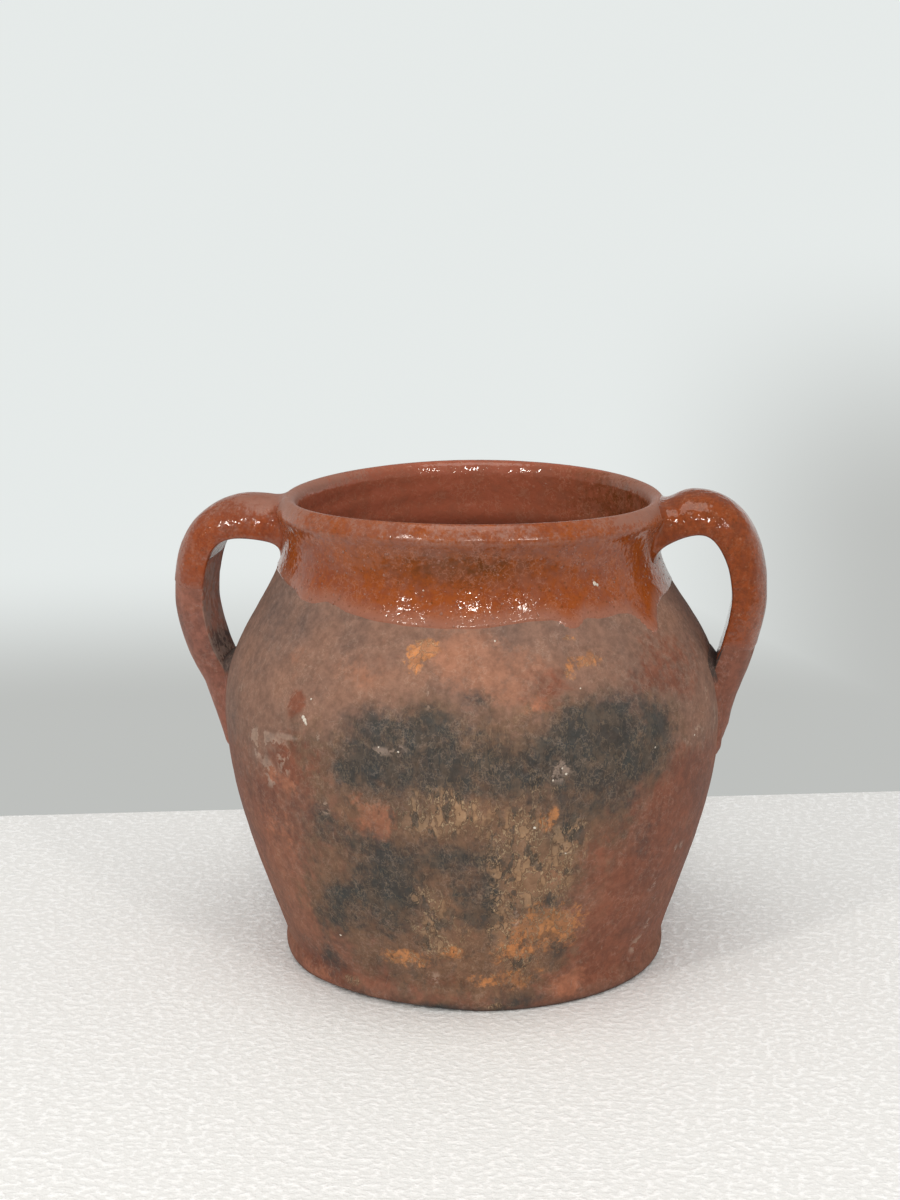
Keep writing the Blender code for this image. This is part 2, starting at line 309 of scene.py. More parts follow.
def insideLine(lipSteps, throatSteps, shoulderSteps, flankSteps, floorSteps):
    neck = pot["neck"] - pot["neckWall"]
    belly = pot["belly"] - pot["bellyWall"]
    fillet = pot["floorFillet"]
    corner = np.array((pot["footCrease"] - pot["footWall"], pot["floor"] + fillet))
    # the inner edge of the lip is smoothed to a narrow slope
    centre, radius = lipCentre + (0, pot["lipEase"]), pot["lip"] - pot["lipEase"]
    turn = math.radians(pot["lipSlope"])
    crown = arcPoints(centre, radius, math.pi / 2, turn, lipSteps - pot["lipInnerSteps"])
    slide = pot["lipFlat"] * np.array((-math.sin(turn), math.cos(turn)))
    inner = arcPoints(centre + slide, radius, turn, math.pi, pot["lipInnerSteps"])
    lip = chain(crown, [crown[-1], *inner])
    drop = (lipCentre[1] - pot["neckHeight"]) / 3
    narrow = np.array((neck, pot["neckHeight"]))
    throat = curvePoints(lip[-1], lip[-1] - (0, drop), narrow + (0, drop), narrow, throatSteps)
    shoulder = shoulderLine(belly, neck, shoulderSteps)[::-1]
    flank = flankLine(corner, belly, flankSteps)[::-1]
    bend = arcPoints(corner - (fillet, 0), fillet, 0, -math.pi / 2, pot["filletSteps"])
    floor = np.linspace(bend[-1], (0, pot["floor"]), floorSteps + 1)
    return chain(lip, throat, shoulder, flank, bend, floor)


def radiusAt(height):
    line = outsideLine(*pot["fineSteps"])
    return np.interp(height, line[:, 1], line[:, 0])


def profileObject(name, outside, inside):
    # x is the radius, y tells inside from outside, z is the height
    line = chain(outside, inside)
    along = np.gradient(line, axis=0)
    along /= np.linalg.norm(along, axis=1)[:, None]
    side = np.r_[np.zeros(len(outside)), np.ones(len(inside) - 1)]
    obj = addLine(name, np.stack([line[:, 0], side, line[:, 1]], 1))
    setVectors(obj, "outward", np.stack([along[:, 1], 0 * side, -along[:, 0]], 1))
    return obj


# how the potter's hands show, in metres
hand = {
    "Ring Depth": 0.00022,
    "Ring Pitch": 0.0085,
    "Inside Rings": 5.5,
    "Wobble": 0.00055,
    "Neck Lean": -0.0009,
    "Rim Droop": 0.0022,
    "Base Lift": 0.0014,
    "Foot Spread": 0.0008,
}
# where they come and go: heights, radii (those named edge or pole), or metres above the glaze line
zones = {
    "offFloor": (0.001, 0.014),
    "underLip": (0.205, 0.2175),
    "pole": (0.0, 0.012),
    "neckLow": (0.150, 0.182),
    "neckHigh": (0.196, 0.214),
    "rim": (0.186, 0.214),
    "base": (0.0, 0.008),
    "baseEdge": (0.074, 0.0868),
    "foot": (0.004, 0.024),
    "footEdge": (0.07, 0.0868),
    "glazeSkin": (-0.0005, 0.0009),
    "beadFront": (0.0, 0.0009),
    "beadBack": (0.0012, 0.0045),
    "bare": -0.0025,
}
liftedAt, liftedHalf, spreadAt = math.radians(112), math.radians(34), 0.4  # angles round the foot


def makeThrowTree():
    ins = [("Profile", "Geometry", None), ("Columns", "Int", pot["columns"])]
    ins += [("Coat", "Float", 0.0), ("Sink", "Float", 0.0)]
    ins += [(name, "Float", value) for name, value in hand.items()]
    ins += [("Glaze Line", "Object", None), ("Clay", "Material", None)]
    bench, given, made = newTree("throwOnWheel", "GeometryNodeTree", ins, [("Pot", "Geometry")])
    calc, ease, fall, get = bench.calc, bench.ease, bench.fall, bench.get

    # a grid of columns round the pot, one row for each point of the profile
    rows = get("Point Count", "GeometryNodeAttributeDomainSize", {"Geometry": given["Profile"]})
    counts = {"Vertices X": given["Columns"] + 1, "Vertices Y": rows}
    flow = get("Mesh", "GeometryNodeMeshGrid", counts)
    index = get(0, "GeometryNodeInputIndex") + 0.5
    column = calc("FLOOR", index / rows)
    row = calc("FLOOR", index - column * rows)

    def pick(geometry, value, place):
        feeds = {"Geometry": geometry, "Value": value, "Index": place}
        sort = {"data_type": "FLOAT_VECTOR", "domain": "POINT"}
        return bench.split(get(0, "GeometryNodeSampleIndex", feeds, **sort))

    here = get(0, "GeometryNodeInputPosition")
    radius, side, height = pick(given["Profile"], here, row)
    outX, _, outZ = pick(given["Profile"], bench.named("outward", "FLOAT_VECTOR"), row)
    turn = column / given["Columns"] * math.tau
    cos, sin = calc("COSINE", turn), calc("SINE", turn)
    outer = 1.0 - side

    # rings of the fingers, and a slow wobble
    climb = (height - radius * 0.6) / given["Ring Pitch"]
    rings = bench.noise(bench.vector(cos * 0.45, sin * 0.45, climb), 1.0, 1.5) - 0.5
    rings = rings * (given["Ring Depth"] * 2.0) * (side * given["Inside Rings"] + 1.0)
    slow = bench.noise(bench.vector(cos * 1.1, sin * 1.1, height * 16.0), 1.0, 2.0) - 0.5
    push = rings + slow * (given["Wobble"] * 2.0)
    push = push * ease(height, *zones["offFloor"]) * ease(height, *zones["underLip"], 1.0, 0.35)
    push = push * ease(radius, *zones["pole"])

    # the glaze: under the clay below its line, and a thicker bead just above it
    edge = get("Geometry", "GeometryNodeObjectInfo", {"Object": given["Glaze Line"]})
    above = height - pick(edge, here, column)[2]
    bead = ease(above, *zones["beadFront"]) * fall(above, *zones["beadBack"])
    share = calc("MAXIMUM", ease(above, *zones["glazeSkin"]), side)
    coat = given["Coat"] + bead * (given["Coat"] * 0.2)
    push = push + (given["Sink"] + share * (coat - given["Sink"]))

    # the neck leans a little, the rim hangs at the handles, the foot is uneven
    lean = ease(height, *zones["neckLow"]) * fall(height, *zones["neckHigh"]) * given["Neck Lean"]
    droop = cos * cos * ease(height, *zones["rim"]) * given["Rim Droop"]
    near = ease(calc("COSINE", turn + liftedAt), math.cos(liftedHalf), 0.999)
    lift = near * (fall(height, *zones["base"]) * outer) * ease(radius, *zones["baseEdge"])
    lift = lift * given["Base Lift"]
    right = calc("MAXIMUM", calc("COSINE", turn + spreadAt), 0.0)
    spread = right * right * fall(height, *zones["foot"]) * outer * given["Foot Spread"]
    radius = radius + spread * ease(radius, *zones["footEdge"]) + outX * push
    height = height + outZ * push - droop + lift
    place = bench.vector(radius * cos + lean, radius * sin, height)

    # these are read before the grid is bent, so they are kept as attributes
    for name, value in (("inside", side), ("aboveGlaze", above)):
        feeds = {"Geometry": flow, "Name": name, "Value": value}
        sort = {"data_type": "FLOAT", "domain": "POINT"}
        flow = get(0, "GeometryNodeStoreNamedAttribute", feeds, **sort)
    flow = get(0, "GeometryNodeSetPosition", {"Geometry": flow, "Position": place})
    bare = calc("LESS_THAN", bench.named("aboveGlaze"), zones["bare"])
    bare = bare * calc("LESS_THAN", bench.named("inside"), 0.5)
    bare = bare * calc("GREATER_THAN", given["Coat"], 0.0)
    feeds = {"Geometry": flow, "Selection": bare}
    flow = get(0, "GeometryNodeDeleteGeometry", feeds, domain="POINT")
    flow = get(0, "GeometryNodeMergeByDistance", {"Geometry": flow, "Distance": 2e-6})
    bench.feed(made["Pot"], bench.sealed(flow, given["Clay"]))
    return bench


# edge is the lower line of the glaze: angle round the pot in degrees, height in millimetres
glaze = {
    "thickness": 0.00029,
    "sink": -0.0004,
    "back": 0.0007,
    "from": 0.158,
    "tremble": 0.0005,
    "soften": 11,
    "columns": 310,
    "outsideSteps": (4, 10, 96, 14, 12),
    "insideSteps": (9, 7, 30, 14, 5),
    "edge": (
        (-160, 185), (-142, 183), (-138, 180), (-132, 179.7), (-127, 181.8), (-123, 181),
        (-117, 179), (-110, 177.5), (-103, 177), (-96, 176.4), (-88, 176.1), (-82, 176.2),
        (-75, 177.2), (-67, 178.6), (-59.5, 178), (-57, 175.2), (-55, 174.2), (-53, 174.8),
        (-50.5, 177.8), (-45.5, 176.4), (-39.5, 176.7), (-34.5, 176), (-32.4, 173.4),
        (-30.8, 169.0), (-29, 166.3), (-26.8, 166.6), (-24.5, 170.4), (-21, 175), (-16, 177.6),
        (0, 178.5), (14, 176.5), (28, 178), (41, 176.2), (47, 171.5), (50, 176.4), (66, 177.4),
        (84, 175.6), (97, 176.8), (103, 172.6), (107, 177), (122, 178.4), (140, 177.2),
        (158, 180.4), (178, 184),
    ),
}


def waves(turns, size, seed):
    points = [Vector((math.cos(a) * size, math.sin(a) * size, seed)) for a in turns]
    return np.array([noise.noise(point) for point in points])


def glazeLineObject():
    # one point for each column of the coat
    angles, heights = np.array(glaze["edge"], float).T
    turn = np.arange(glaze["columns"] + 1) * 360 / glaze["columns"]
    turn = (turn - angles[0]) % 360 + angles[0]
    wide = np.concatenate([angles - 360, angles, angles + 360])
    fine = np.arange(wide[0], wide[-1], 0.25)
    kernel = np.hanning(glaze["soften"])
    soft = np.convolve(np.interp(fine, wide, np.tile(heights, 3)), kernel / kernel.sum(), "same")
    tremble = waves(np.radians(turn), 9, 3.1) * glaze["tremble"]
    height = np.interp(turn, fine, soft) / 1000 + tremble
    return addLine("glazeEdge", np.stack([np.radians(turn), 0 * turn, height], 1))


def makeBody(throw):
    underside = np.linspace((0, 0), (pot["footEdge"], 0), pot["underPoints"])
    outside = chain(underside, outsideLine(*pot["outsideSteps"]))
    body = profileObject("potBody", outside, insideLine(*pot["insideSteps"]))
    values = {"Columns": pot["columns"], "Glaze Line": glazeEdge, "Clay": materials["potClay"]}
    useTree(body, throw, values)
    outwards(body)
    print("pot thrown:", len(body.data.vertices), "points")
    return body


def makeCoat(throw):
    outside = outsideLine(*glaze["outsideSteps"])
    outside = outside[outside[:, 1] > glaze["from"]]
    coat = profileObject("glazeCoat", outside, insideLine(*glaze["insideSteps"]))
    values = {"Columns": glaze["columns"], "Coat": glaze["thickness"], "Sink": glaze["sink"]}
    useTree(coat, throw, {**values, "Glaze Line": glazeEdge, "Clay": materials["neckGlaze"]})
    # faces turned away from the clay, then a back is given to the skin
    top = max(coat.data.polygons, key=lambda face: face.center.z)
    if top.normal.z < 0:
        coat.data.flip_normals()
    skinTree = treeOf(coat)
    back = coat.modifiers.new("back", "SOLIDIFY")
    back.thickness = glaze["back"]
    back.offset = -1
    settle(coat)
    coat.data.shade_smooth()
    print("glaze poured:", len(coat.data.vertices), "points")
    return coat, skinTree


strap = {
    "width": 0.0345,
    "rootWidth": 0.0370,
    "rootThickness": 0.0195,
    "crestThickness": 0.0169,
    "landingThickness": 0.0157,
    "landingWidth": 0.9,  # of the width
    "tailWidth": 0.0180,
    "tailThickness": 0.0079,
    "tailStep": 0.0005,
    "tailPull": 0.36,
    "outPull": 0.19,
    "squareness": 2.2,
    "innerSquareness": 7.0,
    "innerShare": 0.14,  # of the thickness, from the inner face to the widest line
    "seat": 0.0016,
    "rootGap": 0.0012,
    "slipMargin": 0.002,
    "inlet": 0.010,
    "inletSteps": 8,
    "bite": 0.0022,  # how deep the root sits in the wall
    "steps": 120,
    "sides": 64,
    "lumps": 0.00035,
    "groove": 0.0005,
    "grooveWidth": 0.34,  # of half the width
}
# tuck: how far the tail is pressed in, in millimetres at a height in millimetres
# the corner height, in millimetres, places the painted shade in the corner under the fingers
handles = {
    "left": {
        "side": -1, "thickness": 0.0171, "standOut": 0.0171, "arch": 0.81, "rise": 0.0096,
        "rootDrop": 0.0157, "outermostDrop": 0.0537, "tailLean": 0.095, "tailDrop": 0.1330,
        "glazeEnd": 0.0460, "glazeSlant": 1.0, "innerShort": 15.0, "seed": 2.7, "squash": 0.05,
        "cornerRise": 0.0042, "rubbed": 0.62, "dusty": 1.0, "cornerShadeAt": 143, "thinFrom": 172,
        "red": 0.3, "deep": 0.0,
        "tuck": (
            (150, 0), (142, 0.3), (136, 1.1), (128, 2.8), (121, 2.4), (113, 1.4), (105.5, 0.3),
            (98, -0.9), (91, 1.2), (84, 4.4),
        ),
    },
    "right": {
        "side": 1, "thickness": 0.0159, "standOut": 0.0120, "arch": 0.735, "rise": 0.0205,
        "rootDrop": 0.0135, "outermostDrop": 0.0450, "tailLean": 0.030, "tailDrop": 0.1195,
        "glazeEnd": 0.0700, "glazeSlant": 5.0, "innerShort": 0.0, "seed": 8.3, "squash": 0.30,
        "cornerRise": 0.0015, "rubbed": 0.3, "dusty": 0.2, "cornerShadeAt": 147, "thinFrom": 148,
        # on this handle red and deep are partly its own deeper tone and partly painted shade
        "red": 0.9, "deep": 0.45,
        "tuck": (
            (150, 0), (142, 0.5), (136, 1.3), (128.7, 1.7), (121.5, 1.1), (114.3, 0.1), (107, 0.4),
            (102, 2.2), (98, 5.0),
        ),
    },
}
sideTurns = np.arange(strap["sides"]) * math.tau / strap["sides"]


def strapPath(handle):
    half = strap["rootWidth"] / 2 + strap["slipMargin"]
    rootReach = math.sqrt(pot["neck"] ** 2 - half**2) - strap["rootGap"]
    start = np.array((rootReach, pot["height"] - handle["rootDrop"]))
    out = np.array((pot["belly"] + handle["standOut"], pot["height"] - handle["outermostDrop"]))
    tailHeight = pot["height"] - handle["tailDrop"]
    reach = radiusAt(tailHeight) + strap["seat"] + strap["tailStep"] - strap["tailThickness"] / 2
    tail = np.array((reach, tailHeight))
    fall = start[1] - out[1]
    bend = start + ((out[0] - start[0]) * handle["arch"], handle["rise"])
    over = curvePoints(start, bend, out + (0, fall * handle["arch"]), out, strap["steps"] // 2)
    drop = out[1] - tail[1]
    lean = tail + (drop * handle["tailLean"], drop * strap["tailPull"])
    down = curvePoints(out, out - (0, drop * strap["outPull"]), lean, tail, strap["steps"] // 2)
    # straight on into the wall
    inlet = start - unit(over[1] - start) * strap["inlet"]
    return chain(np.linspace(inlet, start, strap["inletSteps"] + 1), over, down)


def stationed(stations, share):
    place = share * (len(stations) - 1)
    low = np.minimum(place.astype(int), len(stations) - 2)
    stations = np.array(stations)
    return stations[low] + (stations[low + 1] - stations[low]) * ramp(place - low, 0, 1)


def strapRings(handle):
    path = strapPath(handle)
    share = np.linspace(0, 1, len(path) - strap["inletSteps"])
    share = np.r_[np.zeros(strap["inletSteps"]), share]
    along = np.gradient(path, axis=0)
    along /= np.linalg.norm(along, axis=1)[:, None]
    outward = np.stack([-along[:, 1], along[:, 0]], 1)
    heights, depths = np.array(handle["tuck"]).T[:, ::-1] / 1000
    tuck = np.interp(path[:, 1], heights, depths) * ramp(share, 0.5, 0.6)
    path = path - outward * tuck[:, None]
    wide, landing = strap["width"], strap["width"] * strap["landingWidth"]
    widths = [strap["rootWidth"], wide, wide, wide, landing, strap["tailWidth"]]
    depths = [strap["rootThickness"], strap["crestThickness"], handle["thickness"]]
    depths += [strap["landingThickness"], strap["tailThickness"]]
    halfWide, halfDeep = stationed(widths, share) / 2, stationed(depths, share) / 2
    # the inner face is flatter than the outer one
    cos, sin = np.cos(sideTurns), np.sin(sideTurns)
    power = 2 / np.where(sin > 0, strap["squareness"], strap["innerSquareness"])
    across = np.copysign(np.abs(cos) ** power, cos)
    low = 2 * strap["innerShare"]
    deep = np.abs(sin) ** power * np.where(sin > 0, 2 - low, -low) + low - 1
    # a shallow groove from the thumb along the outer face
    groove = strap["groove"] * np.exp(-((across / strap["grooveWidth"]) ** 2)) * (deep > 0)
    fade = ramp(share, 0.12, 0.3) * (1 - ramp(share, 0.7, 0.92))
    # pressed flat where it meets the lip
    press = 1 - handle["squash"] * (1 - ramp(share, 0.02, 0.11))[:, None] * (deep > 0)
    off = halfDeep[:, None] * deep * press - groove * fade[:, None]
    place = path[:, None, :] + outward[:, None, :] * off[:, :, None]
    wide = halfWide[:, None] * across
    rings = np.stack([handle["side"] * place[:, :, 0], wide, place[:, :, 1]], 2)
    # lumps left by wet fingers
    centre = np.stack([handle["side"] * path[:, 0], 0 * share, path[:, 1]], 1)
    for i in range(len(rings)):
        for k in range(strap["sides"]):
            p = Vector(rings[i, k])
            bump = noise.noise(p * 42 + Vector((handle["seed"], 0, 0))) + 0.5 * noise.noise(p * 110)
            away = rings[i, k] - centre[i]
            rings[i, k] += away / max(np.linalg.norm(away), 1e-6) * bump * strap["lumps"]
    return rings


def gridFaces(rows, columns, loopRows=False):
    faces = []
    for i in range(rows if loopRows else rows - 1):
        j = (i + 1) % rows
        for k in range(columns):
            m = (k + 1) % columns
            faces.append((i * columns + k, i * columns + m, j * columns + m, j * columns + k))
    return faces


def barObject(name, rings):
    rows, columns = rings.shape[:2]
    faces = gridFaces(rows, columns)
    faces += [tuple(range(columns)), tuple(range((rows - 1) * columns, rows * columns))]
    return outwards(addObject(name, rings.reshape(-1, 3), faces))


def closedRing(name, rows, inner):
    # the visible rows, closed behind by rows inside the clay
    rows = np.concatenate([rows, inner[::-1]])
    return outwards(addObject(name, rows.reshape(-1, 3), gridFaces(*rows.shape[:2], loopRows=True)))


def treeOf(obj):
    work = bmesh.new()
    work.from_mesh(obj.data)
    tree = BVHTree.FromBMesh(work)
    work.free()
    return tree


def heightOver(tree, points):
    # distance above a surface, the nearest point on it and its normal
    out = [tree.find_nearest(Vector(p)) for p in points]
    near = np.array([o[0] for o in out])
    normal = np.array([o[1] for o in out])
    return ((points - near) * normal).sum(1), near, normal


def smoothLoop(points, times):
    for _ in range(times):
        points = (np.roll(points, 1, 0) + 2 * points + np.roll(points, -1, 0)) / 4
    return points


def lengthsDown(rows):
    # the way gone down each column of a net
    steps = np.linalg.norm(rows[1:] - rows[:-1], axis=2)
    return np.concatenate([np.zeros((1, rows.shape[1])), np.cumsum(steps, axis=0)])


rootSlip = {
    "wallReach": 0.0052,
    "lipReach": 0.0042,
    "strapReach": 0.0070,
    "steps": 10,
    "underGlaze": 0.00015,
    "back": 0.0016,
}


def rootMeeting(rings, wall):
    # where each line along the strap comes out of the neck
    upTo, columns = len(rings) // 3, rings.shape[1]
    over = heightOver(wall, rings[:upTo].reshape(-1, 3))[0].reshape(upTo, columns)
    places = np.zeros(columns)
    for k in range(columns):
        inside = np.nonzero(over[:, k] <= 0)[0]
        i = min(inside[-1] if len(inside) else 0, upTo - 2)
        low, high = over[i, k], over[i + 1, k]
        places[k] = i + np.clip(-low / max(high - low, 1e-9), 0, 1)
    return places


def alongStrap(rings, places):
    # points at fractional places along each line of the strap
    low = np.clip(places.astype(int), 0, len(rings) - 2)
    t = (places - low)[..., None]
    columns = np.broadcast_to(np.arange(rings.shape[1]), places.shape)
    return rings[low, columns] * (1 - t) + rings[low + 1, columns] * t


def gridNormals(rows):
    along = np.gradient(rows, axis=0)
    around = np.roll(rows, -1, axis=1) - np.roll(rows, 1, axis=1)
    normal = unit(np.cross(along, around))
    inwards = ((rows - rows.mean(axis=1, keepdims=True)) * normal).sum() < 0
    return -normal if inwards else normal


def advance(rings, places, distance):
    # the same places, moved on by a distance along each line
    gone = lengthsDown(rings)
    index = np.arange(len(rings))
    moved = []
    for k, place in enumerate(places):
        there = np.interp(place, index, gone[:, k]) + distance
        moved.append(np.interp(there, gone[:, k], index))
    return np.array(moved)


def cutToWall(rings, wall):
    # every line of the strap starts a little way inside the wall
    starts = advance(rings, rootMeeting(rings, wall), -strap["bite"])
    t = np.linspace(0, 1, len(rings))[:, None]
    return alongStrap(rings, starts + t * (len(rings) - 1 - starts))


def rootRows(rings, wall):
    # hollow rows from the neck, over the smeared joint and on to the strap
    places = rootMeeting(rings, wall)
    meeting = alongStrap(rings, places)
    wallNormal = heightOver(wall, meeting)[2]
    low = np.clip(places.astype(int), 0, len(rings) - 2)
    strapNormal = gridNormals(rings)[low, np.arange(len(places))]
    # under the lip there is little room, below the strap there is plenty
    room = ramp(strapNormal[:, 2], -0.9, 0.9)
    reach = rootSlip["wallReach"] * (1 - room) + rootSlip["lipReach"] * room
    overWall = unit(strapNormal - (wallNormal * strapNormal).sum(1, keepdims=True) * wallNormal)
    starts = advance(rings, places, rootSlip["strapReach"])
    foot = heightOver(wall, meeting + overWall * reach[:, None])[1]
    head = alongStrap(rings, starts)
    t = np.linspace(0, 1, rootSlip["steps"] + 1)[:, None, None]
    return (1 - t) ** 2 * foot + 2 * t * (1 - t) * meeting + t * t * head, starts


handleGlaze = {
    "thickness": 0.00026,
    "bead": 0.0001,
    "sunk": 0.0003,  # at its lower end
    "edge": (0, 0.0022),
    "beadFront": (0.0010, 0.0022),
    "beadBack": (0.0026, 0.006),
    "root": (0, 0.002),
    "rows": 74,
    "skipped": 30,  # rows at the root that are never the end
    "ragged": 0.9,
    "back": 0.0005,
}


def makeHandle(name, handle, bodyTree, coatTree):
    rings = cutToWall(strapRings(handle), bodyTree)
    bar = barObject("handle" + name, rings)

    # the upper joint: slip under the glaze
    rows, _ = rootRows(rings, bodyTree)
    normal = gridNormals(rows)
    front, back = (rows - normal * rootSlip[key] for key in ("underGlaze", "back"))
    upper = closedRing("slipUpper" + name, front, back)

    # glaze from the neck over the joint and down the strap to its ragged end
    rows, starts = rootRows(rings, coatTree)
    below = rings.mean(axis=1)[:, 2] < pot["height"] - handle["glazeEnd"]
    lower = np.nonzero(below & (np.arange(len(rings)) > handleGlaze["skipped"]))[0][0]
    wave = 3.2 * waves(sideTurns, 1.6, handle["seed"]) + 0.9 * waves(sideTurns, 6, handle["seed"])
    ends = lower + handleGlaze["ragged"] * smoothLoop(wave, 2)
    inner = ramp(-np.sin(sideTurns), 0.3, 0.8)
    ends -= handle["glazeSlant"] * np.sin(sideTurns) + handle["innerShort"] * inner
    t = np.linspace(0, 1, handleGlaze["rows"] + 1)[1:, None]
    skin = np.concatenate([rows, alongStrap(rings, starts + t * (ends - starts))])
    normal = gridNormals(skin)
    gone = lengthsDown(skin)
    left = gone[-1] - gone
    sunk = handleGlaze["sunk"]
    thick = -sunk + (handleGlaze["thickness"] + sunk) * ramp(left, *handleGlaze["edge"])
    bead = ramp(left, *handleGlaze["beadFront"]) * (1 - ramp(left, *handleGlaze["beadBack"]))
    thick += handleGlaze["bead"] * bead
    thick *= ramp(gone, *handleGlaze["root"]) * 0.9 + 0.1
    front, back = skin + normal * thick[:, :, None], skin - normal * handleGlaze["back"]
    glazed = closedRing("handleGlaze" + name, front, back)
    print("handle", name.lower(), "pulled and glazed")
    return bar, upper, glazed, rings


tailSlip = {
    "rows": 124,
    "columns": 72,
    "margin": 0.008,
    "close": 0.003,  # parts of the strap that get slip
    "rise": 0.0017,  # how high the slip climbs the strap's sides
    "spread": 0.0042,  # how far it runs out on the wall
    "cornerSpread": 0.0055,  # the same under the fingers
    "uneven": 0.35,
    "cover": (0.0004, 0.012),  # how near the strap lies over a corner
    "thin": (0.00003, 0.0005),
    "sink": 0.0006,
    "back": 0.0018,
}


def blurred(grid, times):
    for _ in range(times):
        for axis in (0, 1):
            wide = np.pad(grid, [(1, 1) if a == axis else (0, 0) for a in (0, 1)], mode="edge")
            before = np.take(wide, range(0, grid.shape[axis]), axis)
            after = np.take(wide, range(2, grid.shape[axis] + 2), axis)
            grid = (before + 2 * grid + after) / 4
    return grid


def makeTailSlip(name, handle, rings, wall, bar):
    # a net over the belly round the tail, raised where the strap is near
    tail = rings[len(rings) // 2:].reshape(-1, 3)
    near = tail[np.abs(heightOver(wall, tail)[0]) < tailSlip["close"]]
    margin = tailSlip["margin"]
    wide = np.abs(np.arctan2(near[:, 1], np.abs(near[:, 0]))).max() + margin / pot["belly"]
    size = (tailSlip["rows"], tailSlip["columns"])
    up = np.linspace(near[:, 2].min() - margin, near[:, 2].max() + margin, size[0])
    net = np.meshgrid(up, np.linspace(-wide, wide, size[1]), indexing="ij")
    height, turn = (values.ravel() for values in net)
    radius = radiusAt(height)
    guess = np.stack([handle["side"] * radius * np.cos(turn), radius * np.sin(turn), height], 1)
    _, base, normal = heightOver(wall, guess)
    # parts of the wall that have the strap close over them
    lift, farthest = tailSlip["cover"]
    under = []
    for p, n in zip(base, normal):
        hit, facing, _, _ = bar.ray_cast(Vector(p + n * lift), Vector(n), farthest)
        under.append(1.0 if hit is not None and facing.dot(Vector(n)) < 0 else 0.0)
    corner = blurred(np.reshape(under, size), 4).ravel()
    rise = tailSlip["rise"] + (handle["cornerRise"] - tailSlip["rise"]) * corner
    spread = tailSlip["spread"] + (tailSlip["cornerSpread"] - tailSlip["spread"]) * corner
    rough = np.array([noise.noise(Vector(p) * 130) for p in base])
    spread = spread * (1 + tailSlip["uneven"] * rough)
    apart = np.full(len(base), 1.0)
    for share in (0, 0.25, 0.5, 0.75, 1):
        points = base + normal * (rise * share)[:, None]
        over, nearest, _ = heightOver(bar, points)
        apart = np.minimum(apart, np.copysign(np.linalg.norm(points - nearest, axis=1), over))
    raised = blurred((rise * (1 - np.clip(apart / spread, 0, 1))**2).reshape(size), 2)
    raised = raised - tailSlip["sink"] * (1 - ramp(raised, *tailSlip["thin"]))
    raised[[0, -1]] = raised[:, [0, -1]] = -tailSlip["sink"]
    front, back = base + normal * raised.reshape(-1, 1), base - normal * tailSlip["back"]
    # front and back nets, and a wall round their edges
    count = len(base)
    index = np.arange(count).reshape(size)
    quads = [index[:-1, :-1], index[:-1, 1:], index[1:, 1:], index[1:, :-1]]
    quads = np.stack(quads, -1).reshape(-1, 4)
    rim = [*index[0], *index[1:, -1], *index[-1, -2::-1], *index[-2:0:-1, 0]]
    sides = [(a, b, count + b, count + a) for a, b in zip(rim, rim[1:] + rim[:1])]
    faces = [*quads.tolist(), *(quads[:, ::-1] + count).tolist(), *sides]
    return outwards(addObject("slipLower" + name, np.vstack([front, back]), faces))


